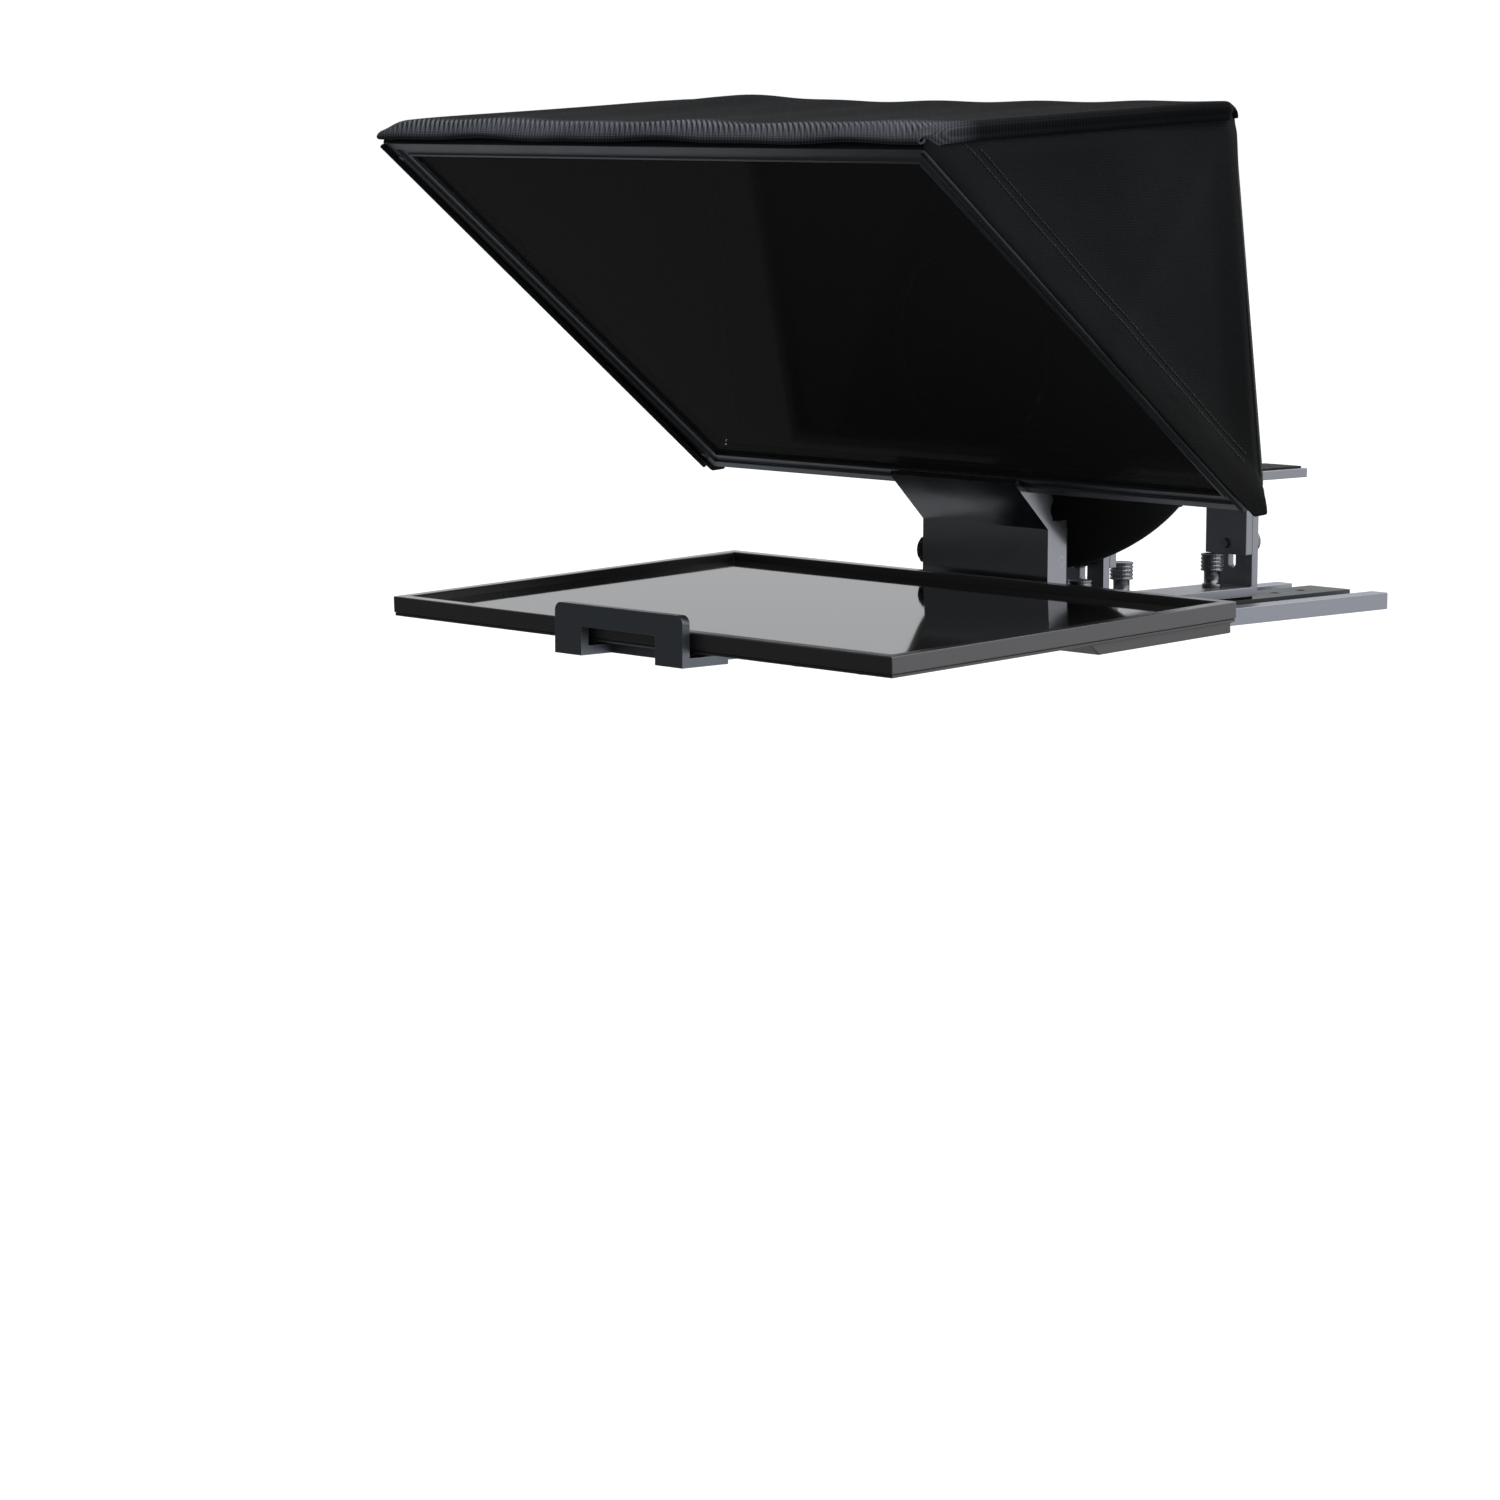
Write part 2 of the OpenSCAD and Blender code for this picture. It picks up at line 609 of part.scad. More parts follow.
// ---------- hood ----------
module hood_top() {
    slope = (hood_rear_top[1] - hood_brow[1]) / (hood_rear_top[0] - hood_brow[0]);
    color(cloth) side_cut(-hood_x - cloth_t, hood_x + cloth_t) polygon([
        hood_front, hood_brow, hood_rear_top, hood_rear_top - [0, cloth_t],
        [-405, hood_brow[1] - 2 * slope - cloth_t - 0.4], [-414.6, 309.6], [-415.2, 307.5]]);
}
module hood_side() {
    color(cloth) side_cut(hood_x, hood_x + cloth_t) polygon([
        hood_chin, [-415.2, 303.5], [-415.6, 308], [-404, hood_brow[1] - 4], hood_rear_top - [0, cloth_t + 0.4],
        hood_rear_top - [-1, 5], hood_rear_low, hood_rear_low - [4, 4.3]]);
}
module hood_side_left() { mirror([1, 0, 0]) hood_side(); }
module hood_side_right() { hood_side(); }
// Round tube hoop: two legs, two bent corners and a top bar, with flat lugs at the pins.
module hood_hoop() {
    bar_z = hoop_len;
    color(black) in_hoop() difference() {
        union() {
            mirrored() {
                at(hoop_x, 0, 0) cylinder(r = hoop_r, h = bar_z - hoop_corner);
                at(hoop_x - hoop_corner, 0, bar_z - hoop_corner) rotate([90, 0, 0])
                    rotate_extrude(angle = 90) at(hoop_corner, 0, 0) circle(r = hoop_r);
                along_x(hoop_r + 0.2, hoop_x - 3, hoop_x + 2.5);
            }
            at(0, 0, bar_z) along_x(hoop_r, -hoop_x + hoop_corner, hoop_x - hoop_corner);
        }
        along_x(pin_r + gap, -250, 250);
    }
}
panel_y = 4.3;         // face of the rear panel behind the hoop's axis
module rear_panel() {
    color(cloth) in_hoop() difference() {
        box(-hoop_x - 6, hoop_x + 6, panel_y, panel_y + cloth_t, -3, hoop_len + 3.5);
        at(0, 0, lens_up) along_y(lens_r, 0, 20);
    }
}
module lens_hem() {
    color(black) in_hoop() at(0, panel_y - 0.1, lens_up) rotate([90, 0, 0])
        rotate_extrude() at(lens_r + 4, 0, 0) translate([0, 1.6]) square([5, 3], center = true);
}
// Soft sleeve that droops from the rear panel towards the camera.
module sleeve_ring(half_w, half_h, t) {
    rotate([90, 0, 0]) scale([half_w, half_h, 1]) cylinder(r = 1, h = t, $fn = 40);
}
module sleeve_rear(y, z) {
    at(0, sleeve_back_pos[0], sleeve_back_pos[1]) rotate([sleeve_lean, 0, 0]) at(0, y, z) children();
}
// Outer shape of the sleeve, or its inner one when inset; the inner one starts ahead of the rear panel.
module sleeve_shape(inset, ahead) {
    hull() {
        in_hoop() at(0, panel_y + cloth_t + 0.5 - ahead, sleeve_front[2])
            sleeve_ring(sleeve_front[0] - inset, sleeve_front[1] - inset, 0.5);
        sleeve_rear(-inset, 0) sleeve_ring(sleeve_back[0] - inset, sleeve_back[1] - inset, 1);
    }
    hull() {
        sleeve_rear(-inset, 0) sleeve_ring(sleeve_back[0] - inset, sleeve_back[1] - inset, 1);
        sleeve_rear(sleeve_end_pos[0] - inset, sleeve_end_pos[1]) sleeve_ring(sleeve_end[0], sleeve_end[1], 1);
    }
}
module lens_sleeve() {
    color(cloth) difference() {
        sleeve_shape(0, 0);
        sleeve_shape(sleeve_t, 0.9);
        sleeve_rear(sleeve_end_pos[0] + 1, sleeve_end_pos[1])
            sleeve_ring(sleeve_end[0] - sleeve_t, sleeve_end[1] - sleeve_t, 3 * sleeve_t);
    }
}

// ---------- camera riser ----------
// Cutter for the height slot in a leg that lies between Y = 0 and the strap's thickness.
module leg_slot() {
    r = stud_r + 0.2;
    rotate([90, 0, 0]) slot(r, slot_low + r, slot_high - r, -strap_t - 1, 1);
}
// L-shaped foot: its leg's bearing face is on Y = 0, and the foot runs towards -Y to its end at -len.
module riser_foot(len, nut_in) {
    difference() {
        union() {
            box(-strap_w / 2, strap_w / 2, 0, strap_t, foot_z, leg_top);
            box(-strap_w / 2, strap_w / 2, -len, strap_t, foot_z, foot_z + strap_t);
        }
        leg_slot();
        at(0, -nut_in, 0) cylinder(r = stud_r + gap, h = foot_z + 2 * strap_t);
    }
}
module riser_foot_rear() {
    color(slate) at(0, rear_leg_y, 0) riser_foot(foot_rear, rear_leg_y - rear_nut_y);
}
module riser_foot_front() {
    color(slate) at(0, front_leg_y, 0) mirror([0, 1, 0]) riser_foot(foot_front, front_nut_y - front_leg_y);
}
module riser_pads() {
    color(black) difference() {
        union() {
            box(-pad_x, pad_x, rear_leg_y - foot_rear + 2, rear_leg_y + 4, base_h, foot_z);
            box(-pad_x, pad_x, front_leg_y - 4, front_leg_y + foot_front - 2, base_h, foot_z);
        }
        for (y = [front_nut_y, rear_nut_y]) at(0, y, 0) cylinder(r = stud_r + gap, h = 50);
    }
}
module riser_studs() {
    color(steel) for (y = [front_nut_y, rear_nut_y]) {
        at(0, y, floor_t + 0.2) cylinder(r = stud_r, h = foot_z + strap_t + 10 - floor_t);
        box(-6, 6, y - 7, y + 7, floor_t + 0.2, base_h - lip_t + 0.8);
    }
}
module riser_nut_front() {
    color(steel) at(0, front_nut_y, foot_z + strap_t) thumb_nut(nut_r, stud_r + gap);
}
module riser_nut_rear() { color(steel) at(0, rear_nut_y, foot_z + strap_t) thumb_nut(nut_r, stud_r + gap); }
// Bridge: a strap bent down at both ends, whose legs slide on the bearing faces of the feet.
module riser_bridge() {
    y0 = front_leg_y + 0.1;
    y1 = rear_leg_y - 0.1;
    color(slate) difference() {
        union() {
            box(-strap_w / 2, strap_w / 2, y0, y1, plate_z - strap_t, plate_z);
            box(-strap_w / 2, strap_w / 2, y0, y0 + strap_t, bridge_low, plate_z);
            box(-strap_w / 2, strap_w / 2, y1 - strap_t, y1, bridge_low, plate_z);
        }
        at(0, 0, height_z) along_y(stud_r + gap, y0 - 1, y1 + 1);
        slot(camera_r + 0.3, web_slot[0], web_slot[1], plate_z - strap_t - 1, plate_z + 1);
    }
}
// Height knob: its stud runs through the legs towards -Y, and its shoulder keeps the grip off them.
grip_len = 5.1;
knob_nose = 2;
module height_knob(shoulder) {
    reach = 2 * strap_t + 2;
    rotate([-90, 0, 0]) {
        at(0, 0, -reach) cylinder(r = stud_r, h = reach + 1);
        cylinder(r = nut_r - 2, h = shoulder);
        at(0, 0, shoulder - 0.1) cylinder(r = nut_r, h = grip_len);
        at(0, 0, shoulder + grip_len - 0.1) cylinder(r1 = nut_r, r2 = nut_r - 2.5, h = knob_nose);
    }
}
module height_knob_rear() {
    color(steel) at(0, rear_leg_y + strap_t + 0.1, height_z) height_knob(long_shoulder);
}
module height_knob_front() {
    color(steel) at(0, front_leg_y - strap_t - 0.1, height_z) rotate(180) height_knob(short_shoulder);
}
module camera_plate() {
    color(slate) difference() {
        box(-strap_w / 2, strap_w / 2, plate_front, plate_rear, plate_z, plate_z + strap_t);
        at(0, camera_y, plate_z - 1) cylinder(r = camera_r + gap, h = strap_t + 2);
    }
}
module camera_pad() {
    color(black) difference() {
        box(-strap_w / 2 + 2, strap_w / 2 - 2, plate_front + 4, plate_rear - 4, plate_z + strap_t,
            plate_z + strap_t + pad_t);
        at(0, camera_y, plate_z) cylinder(r = camera_r + gap, h = strap_t + 5);
    }
}
module camera_screw() {
    neck = 2 * strap_t + pad_t + 0.1;
    color(steel) at(0, camera_y, plate_z - strap_t - 0.1) {
        mirror([0, 0, 1]) hand_knob(10, 8, 16, camera_neck, neck);
        at(0, 0, neck) cylinder(r = camera_r, h = camera_reach);
    }
}

base_channel();
centre_bar();
bar_screws();
tripod_bush();
monitor_back();
monitor_bezel();
screen_panel();
circuit_board();
power_inlet();
video_inlet();
power_button();
vesa_plate();
vesa_screws();
monitor_wedge();
wedge_screws();
front_clamp();
clamp_pads();
clamp_knob_left();
clamp_knob_right();
glass_post();
post_bolts();
post_nut_left();
post_nut_right();
guide_screw();
pivot_pin();
tilt_knob();
glass_bracket();
bracket_screws();
frame_rail_bottom();
frame_rail_top();
frame_rail_left();
frame_rail_right();
beam_splitter();
glass_gasket();
corner_screws();
hinge_ears();
hinge_pins();
hood_top();
hood_side_left();
hood_side_right();
hood_hoop();
rear_panel();
lens_hem();
lens_sleeve();
riser_foot_front();
riser_foot_rear();
riser_pads();
riser_studs();
riser_nut_front();
riser_nut_rear();
riser_bridge();
height_knob_front();
height_knob_rear();
camera_plate();
camera_pad();
camera_screw();
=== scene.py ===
"""Looks of a camera teleprompter: cloth hood, knurled hardware, materials, floor, light and camera.

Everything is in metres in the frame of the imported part: +Z up, +Y from the presenter to the camera
operator, origin at the mouth of the tripod thread. "Slope" means the plane of the glass frame. The
signs -1 and 1 stand for the left (-X) and right (+X) side.
"""

import json
import math

import bpy
from mathutils import Matrix, Vector


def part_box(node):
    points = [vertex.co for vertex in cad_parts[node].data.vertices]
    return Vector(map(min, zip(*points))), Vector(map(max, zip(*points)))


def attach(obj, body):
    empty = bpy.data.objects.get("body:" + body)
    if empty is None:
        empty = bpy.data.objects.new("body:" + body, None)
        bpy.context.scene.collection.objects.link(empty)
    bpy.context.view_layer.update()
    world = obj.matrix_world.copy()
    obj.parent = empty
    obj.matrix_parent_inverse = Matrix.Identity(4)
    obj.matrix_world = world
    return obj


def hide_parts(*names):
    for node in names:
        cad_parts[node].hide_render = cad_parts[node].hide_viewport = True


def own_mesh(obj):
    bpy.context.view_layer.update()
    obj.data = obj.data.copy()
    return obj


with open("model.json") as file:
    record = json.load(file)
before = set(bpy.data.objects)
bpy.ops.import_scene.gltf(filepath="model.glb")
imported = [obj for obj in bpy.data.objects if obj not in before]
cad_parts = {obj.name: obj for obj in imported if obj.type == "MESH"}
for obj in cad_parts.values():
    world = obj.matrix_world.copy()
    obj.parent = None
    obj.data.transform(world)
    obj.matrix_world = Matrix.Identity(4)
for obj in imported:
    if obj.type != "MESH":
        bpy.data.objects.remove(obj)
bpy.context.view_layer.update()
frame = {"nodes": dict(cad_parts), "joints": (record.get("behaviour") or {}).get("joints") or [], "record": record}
nodes = frame["nodes"]
joint_at = {j["name"]: j for j in frame["joints"]}

MM = 0.001
TURN = 2 * math.pi
UP = Vector((0, 0, 1))


# ---------- places taken from the frame ----------
GLASS_PITCH = math.radians(37.5)
HOOP_LEAN = math.radians(8.3)
TUBE_R = 4 * MM

slope_out = Vector((0, math.sin(GLASS_PITCH), math.cos(GLASS_PITCH)))
hinge = Vector(joint_at["hood_fold"]["pos_m"])
hoop_up = Vector((0, -math.sin(HOOP_LEAN), math.cos(HOOP_LEAN)))
hoop_back = Vector((0, math.cos(HOOP_LEAN), math.sin(HOOP_LEAN)))
hoop_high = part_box("hood_hoop")[1]
hoop_half = hoop_high.x - TUBE_R
hoop_len = (hoop_high.z - TUBE_R - hinge.z) / math.cos(HOOP_LEAN)
hood_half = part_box("hood_top")[1].x


def in_hoop(x, back, up):
    """A point given in the hoop's own plane: across, out of its back, and along its legs."""
    return Vector((x, hinge.y, hinge.z)) + back * hoop_back + up * hoop_up


# ---------- mesh helpers ----------
def smoothstep(low, high, value):
    """Rises smoothly from 0 at low to 1 at high; falls when low is the greater."""
    t = min(1.0, max(0.0, (value - low) / (high - low)))
    return t * t * (3 - 2 * t)


def bump(distance, width):
    """A smooth bell of height 1 round zero."""
    return math.exp(-((distance / width) ** 2))


def mesh_object(name, verts, faces):
    mesh = bpy.data.meshes.new(name)
    mesh.from_pydata([tuple(v) for v in verts], [], faces)
    mesh.validate()
    mesh.update()
    obj = bpy.data.objects.new(name, mesh)
    bpy.context.scene.collection.objects.link(obj)
    for polygon in mesh.polygons:
        polygon.use_smooth = True
    return obj


def grid_object(name, rows, ring=False):
    """A sheet through rows of points; ring joins each row's end to its start."""
    wide = len(rows[0])
    faces = []
    for i in range(len(rows) - 1):
        for j in range(wide if ring else wide - 1):
            k = (j + 1) % wide
            faces.append((i * wide + j, i * wide + k, (i + 1) * wide + k, (i + 1) * wide + j))
    return mesh_object(name, [p for row in rows for p in row], faces)


def thicken(obj, thickness):
    """Gives a sheet its thickness, evenly on both sides, and rounds it by one subdivision."""
    solid = obj.modifiers.new("thickness", "SOLIDIFY")
    solid.thickness = thickness
    solid.offset = 0
    rounding = obj.modifiers.new("rounding", "SUBSURF")
    rounding.levels = 1
    rounding.render_levels = 1
    return obj


def tube(name, points, radius, sides=8, closed=False):
    """A round cord through the points, with closed ends."""
    count = len(points)
    verts, faces = [], []
    side = None
    for i, p in enumerate(points):
        ahead = points[(i + 1) % count] if closed or i + 1 < count else p
        behind = points[i - 1] if closed or i > 0 else p
        along = (ahead - behind).normalized()
        if side is None:
            side = along.orthogonal().normalized()
        side = (side - along * side.dot(along)).normalized()
        other = along.cross(side)
        for k in range(sides):
            a = TURN * k / sides
            verts.append(p + radius * (math.cos(a) * side + math.sin(a) * other))
    last = count if closed else count - 1
    for i in range(last):
        n = (i + 1) % count
        for k in range(sides):
            m = (k + 1) % sides
            faces.append((i * sides + k, i * sides + m, n * sides + m, n * sides + k))
    if not closed:
        faces.append(tuple(range(sides))[::-1])
        faces.append(tuple((count - 1) * sides + k for k in range(sides)))
    return mesh_object(name, verts, faces)


def joined(name, parts):
    """One object made of several, which are removed."""
    verts, faces = [], []
    for part in parts:
        start = len(verts)
        verts += [v.co.copy() for v in part.data.vertices]
        faces += [tuple(start + i for i in f.vertices) for f in part.data.polygons]
        data = part.data
        bpy.data.objects.remove(part)
        bpy.data.meshes.remove(data)
    return mesh_object(name, verts, faces)


# ---------- materials ----------
class Shader:
    """One Principled material; surface detail is read in the piece's own metres."""

    def __init__(self, name, color, rough, metal=0.0, **sockets):
        self.material = bpy.data.materials.new(name)
        self.material.use_nodes = True
        self.tree = self.material.node_tree
        self.bsdf = self.tree.nodes["Principled BSDF"]
        self.bsdf.inputs["Base Color"].default_value = (*color, 1)
        self.bsdf.inputs["Roughness"].default_value = rough
        self.bsdf.inputs["Metallic"].default_value = metal
        for socket, value in sockets.items():
            self.bsdf.inputs[socket.replace("_", " ")].default_value = value
        self.place = self.add("ShaderNodeTexCoord").outputs["Object"]
        self.normal = None

    def add(self, kind, inputs=(), **settings):
        node = self.tree.nodes.new(kind)
        for key, value in settings.items():
            setattr(node, key, value)
        for key, value in dict(inputs).items():
            if isinstance(value, bpy.types.NodeSocket):
                self.tree.links.new(value, node.inputs[key])
            else:
                node.inputs[key].default_value = value
        return node

    def noise(self, scale, detail=3.0, stretch=(1, 1, 1)):
        where = self.add("ShaderNodeMapping", {"Vector": self.place, "Scale": stretch}).outputs[0]
        inputs = {"Vector": where, "Scale": scale, "Detail": detail}
        return self.add("ShaderNodeTexNoise", inputs).outputs["Fac"]

    def wave(self, period, axis, distortion):
        """Parallel bands of the given period in metres across the named axis."""
        inputs = {"Vector": self.place, "Scale": math.pi / 10 / period, "Distortion": distortion,
                  "Detail": 1.0, "Detail Scale": 2.0}
        return self.add("ShaderNodeTexWave", inputs, bands_direction=axis).outputs["Fac"]

    def span(self, value, low, high, to_low, to_high):
        inputs = {"Value": value, "From Min": low, "From Max": high, "To Min": to_low, "To Max": to_high}
        return self.add("ShaderNodeMapRange", inputs).outputs[0]

    def math(self, operation, a, b):
        return self.add("ShaderNodeMath", {0: a, 1: b}, operation=operation).outputs[0]

    def tint(self, share, low, high):
        """Base colour from low to high by share."""
        node = self.add("ShaderNodeMix", {"Factor": share, 6: (*low, 1), 7: (*high, 1)}, data_type="RGBA")
        self.tree.links.new(node.outputs[2], self.bsdf.inputs["Base Color"])

    def roughen(self, share, low, high):
        self.tree.links.new(self.span(share, 0, 1, low, high), self.bsdf.inputs["Roughness"])

    def relief(self, height, strength, distance):
        inputs = {"Height": height, "Strength": strength, "Distance": distance}
        if self.normal is not None:
            inputs["Normal"] = self.normal
        self.normal = self.add("ShaderNodeBump", inputs).outputs[0]
        self.tree.links.new(self.normal, self.bsdf.inputs["Normal"])

    def worn_edges(self, radius, base, worn, amount):
        """Edges lighten a little where a rounded normal leaves the flat one."""
        soft = self.add("ShaderNodeBevel", {"Radius": radius}, samples=4).outputs[0]
        flat = self.add("ShaderNodeNewGeometry").outputs["Normal"]
        dot = self.add("ShaderNodeVectorMath", {0: soft, 1: flat}, operation="DOT_PRODUCT").outputs["Value"]
        edge = self.span(dot, 0.995, 0.86, 0, 1)
        patchy = self.math("MULTIPLY", edge, self.span(self.noise(140, 4), 0.35, 0.6, 0.2, amount))
        self.tint(patchy, base, worn)


def anodised(name, color, rough, worn=(0.3, 0.31, 0.33), amount=0.55):
    """Bead-blasted and anodised aluminium: very fine grain, faint handling marks, paler edges."""
    s = Shader(name, color, rough, 0.85)
    s.worn_edges(0.6 * MM, color, worn, amount)
    s.roughen(s.noise(35, 5), rough - 0.07, rough + 0.09)
    s.relief(s.noise(2600, 2), 0.12, 0.05 * MM)
    s.relief(s.noise(60, 2), 0.05, 0.3 * MM)
    return s.material


def extruded(name, color, rough=0.34):
    """Extruded aluminium with fine die lines along Y."""
    s = Shader(name, color, rough, 0.9)
    s.worn_edges(0.5 * MM, color, (0.55, 0.56, 0.58), 0.5)
    lines = s.noise(900, 3, stretch=(1, 0.01, 1))
    s.roughen(lines, rough - 0.06, rough + 0.1)
    s.relief(lines, 0.2, 0.04 * MM)
    return s.material


def powder_coat(name, color, rough=0.5):
    """Satin powder coat with its orange-peel skin."""
    s = Shader(name, color, rough, 0.0, Specular_IOR_Level=0.5, Coat_Weight=0.15, Coat_Roughness=0.35)
    s.worn_edges(0.4 * MM, color, tuple(c * 2.2 + 0.01 for c in color), 0.5)
    s.roughen(s.noise(70, 4), rough - 0.08, rough + 0.08)
    s.relief(s.noise(700, 2), 0.25, 0.08 * MM)
    return s.material


def steel(name, color, rough=0.28):
    """Zinc-plated steel, faintly blotched and scratched."""
    s = Shader(name, color, rough, 1.0)
    marks = s.noise(1200, 3)
    s.tint(s.span(s.noise(220, 4), 0.3, 0.7, 0, 1), tuple(c * 0.72 for c in color), color)
    s.roughen(marks, rough - 0.08, rough + 0.12)
    s.relief(marks, 0.15, 0.03 * MM)
    return s.material


def moulded(name, color, rough=0.42, grain=0.35, coat=0.0):
    """Injection-moulded plastic with a fine spark-eroded grain."""
    s = Shader(name, color, rough, 0.0, Specular_IOR_Level=0.5, Coat_Weight=coat, Coat_Roughness=0.28)
    s.worn_edges(0.5 * MM, color, tuple(c * 1.8 + 0.012 for c in color), 0.6)
    s.roughen(s.noise(90, 4), rough - 0.06, rough + 0.08)
    s.relief(s.noise(1900, 2), grain, 0.05 * MM)
    return s.material


def rubber(name, color):
    """Matt rubber with a coarse grain."""
    s = Shader(name, color, 0.8, 0.0, Specular_IOR_Level=0.3)
    s.tint(s.span(s.noise(160, 5), 0.35, 0.7, 0, 1), color, tuple(c * 1.7 for c in color))
    s.relief(s.noise(800, 4), 0.5, 0.12 * MM)
    return s.material


def display(name):
    """Glossy display front: a faint hazy film over near-black layers."""
    s = Shader(name, (0.02, 0.02, 0.021), 0.05, 0.0, IOR=1.5, Specular_IOR_Level=0.5)
    s.tint(s.span(s.noise(7, 3), 0.35, 0.65, 0, 1), (0.017, 0.017, 0.018), (0.026, 0.026, 0.027))
    s.roughen(s.noise(14, 5), 0.03, 0.06)
    s.relief(s.noise(600, 2), 0.01, 0.01 * MM)
    return s.material


def coated_glass(name):
    """Beam-splitter glass: a dark neutral film over clear glass."""
    s = Shader(name, (0.135, 0.136, 0.138), 0.06, 0.0, IOR=1.08, Alpha=0.5)
    s.roughen(s.noise(9, 4), 0.03, 0.08)
    s.relief(s.noise(3, 1), 0.01, 0.2 * MM)
    return s.material


def circuit(name):
    """A green circuit board with faint traces."""
    s = Shader(name, (0.02, 0.11, 0.05), 0.35, 0.0)
    traces = s.wave(2.2 * MM, "DIAGONAL", 6.0)
    s.tint(s.span(traces, 0.45, 0.55, 0, 1), (0.012, 0.075, 0.03), (0.03, 0.15, 0.07))
    s.relief(traces, 0.3, 0.05 * MM)
    return s.material


def knurled(name, color, rough=0.3):
    """Dark nickel over turned and knurled steel: polished crests, dull grooves."""
    s = Shader(name, color, rough, 1.0)
    s.tint(s.span(s.noise(420, 4), 0.3, 0.75, 0, 1), tuple(c * 0.55 for c in color), color)
    s.roughen(s.noise(700, 2), rough - 0.1, rough + 0.15)
    s.relief(s.noise(2200, 2), 0.12, 0.03 * MM)
    return s.material


# The ribbed strip behind the brow; its rib stripes are painted highlights in the top cloth's colour, and the last
# number below is their strength.
RIB_AT = -0.398          # the middle of the ribbed strip, along Y
RIB_SPREAD = 20 * MM
RIB_HALF = 226 * MM      # ribs stop where the top cloth turns down at the sides
RIB_FADE = 6 * MM
RIB_PERIOD = 4.4 * MM
RIB_SLANT = 1.15
RIB_HIGHLIGHT = 0.6


def brow_rib_highlights(s, split):
    """Painted highlights: coarse slanting rib stripes made lighter in the colour on the first few centimetres
    behind the brow, where light catches them.
    """
    slant = s.math("ADD", split.outputs["X"], s.math("MULTIPLY", split.outputs["Y"], RIB_SLANT))
    rib = s.math("SINE", s.math("MULTIPLY", slant, TURN / RIB_PERIOD), 0.0)
    from_brow = s.math("ABSOLUTE", s.math("SUBTRACT", split.outputs["Y"], RIB_AT), 0.0)
    patchy = s.span(s.noise(9, 2), 0.35, 0.6, 0.3, 1)
    zone = s.math("MULTIPLY", s.span(from_brow, 0.4 * RIB_SPREAD, RIB_SPREAD, 1, 0), patchy)
    from_middle = s.math("ABSOLUTE", split.outputs["X"], 0.0)
    zone = s.math("MULTIPLY", zone, s.span(from_middle, RIB_HALF - RIB_FADE, RIB_HALF, 1, 0))
    return s.math("MULTIPLY", s.math("MULTIPLY", rib, zone), RIB_HIGHLIGHT)


def woven(name, color, across="X", along="Y", thread=0.75 * MM, pale=2.3, deep=0.62, sheen=0.25,
          gloss=0.28, painted_light_ramps=(), rib_highlights=False):
    """Coated twill: warp and weft threads, a diagonal rib, faint dye drift and lint.

    The colour runs from deep to pale times the given one. Each ramp is (axis, start, end, low, high) and scales
    the colour along that axis: painted light and painted shade. A rib flag adds painted highlight stripes behind
    the brow.
    """
    s = Shader(name, color, 0.72, 0.0, Specular_IOR_Level=gloss, Sheen_Weight=sheen, Sheen_Roughness=0.45)
    warp = s.wave(thread, across, 0.35)
    weft = s.wave(thread * 1.15, along, 0.35)
    split = s.add("ShaderNodeSeparateXYZ", {"Vector": s.place})
    diagonal = s.math("ADD", split.outputs[across], split.outputs[along])
    twill = s.math("SINE", s.math("MULTIPLY", diagonal, TURN / (thread * 2.6)), 0.0)
    threads = s.math("MULTIPLY", warp, weft)
    cloth = s.math("ADD", threads, s.math("MULTIPLY", twill, 0.28))
    drift = s.math("MULTIPLY", s.span(s.noise(11, 4), 0.3, 0.7, 0.0, 1.0), 0.3)
    lint = s.span(s.noise(900, 2), 0.72, 0.8, 0.0, 0.5)
    shade = s.math("ADD", s.math("MULTIPLY", s.span(cloth, -0.2, 1.1, 0, 1), 0.7), drift)
    shade = s.math("MINIMUM", s.math("ADD", shade, lint), 1.0)
    # Painted highlight stripes on the rib strip behind the brow.
    if rib_highlights:
        shade = s.math("ADD", shade, brow_rib_highlights(s, split))
    # Painted light and shade: the colour share is scaled along an axis, so parts of the cloth look lit or shaded.
    for axis, start, end, low, high in painted_light_ramps:
        painted_ramp = s.span(split.outputs[axis], start, end, low, high)
        shade = s.math("MULTIPLY", s.math("MAXIMUM", shade, 0.0), painted_ramp)
    s.tint(shade, tuple(c * deep for c in color), tuple(c * pale for c in color))
    s.roughen(threads, 0.8, 0.62)
    s.relief(cloth, 0.55, 0.22 * MM)
    s.relief(s.noise(38, 4), 0.25, 1.2 * MM)
    return s.material


slate = anodised("slate_anodised", (0.075, 0.083, 0.087), rough=0.45)
slate_clamp = anodised("clamp_anodised", (0.19, 0.21, 0.235), rough=0.38, worn=(0.55, 0.56, 0.58),
                       amount=0.8)
slate_frame = anodised("frame_anodised", (0.215, 0.235, 0.26), rough=0.40, worn=(0.34, 0.36, 0.38))
strap_coat = anodised("strap_anodised", (0.29, 0.30, 0.33), rough=0.36, worn=(0.5, 0.51, 0.53), amount=0.7)
rail_grey = extruded("rail_extrusion", (0.30, 0.31, 0.35))
bracket_coat = anodised("bracket_anodised", (0.30, 0.31, 0.335), rough=0.17, worn=(0.6, 0.61, 0.63),
                        amount=0.8)
post_coat = powder_coat("post_powder_coat", (0.012, 0.013, 0.015))
zinc = steel("zinc_plated", (0.52, 0.53, 0.55))
nickel = knurled("dark_nickel", (0.30, 0.31, 0.33))
shell = moulded("monitor_shell", (0.040, 0.039, 0.042), rough=0.34, coat=0.6)
bezel = moulded("monitor_bezel", (0.042, 0.041, 0.044), rough=0.30, grain=0.2, coat=0.8)
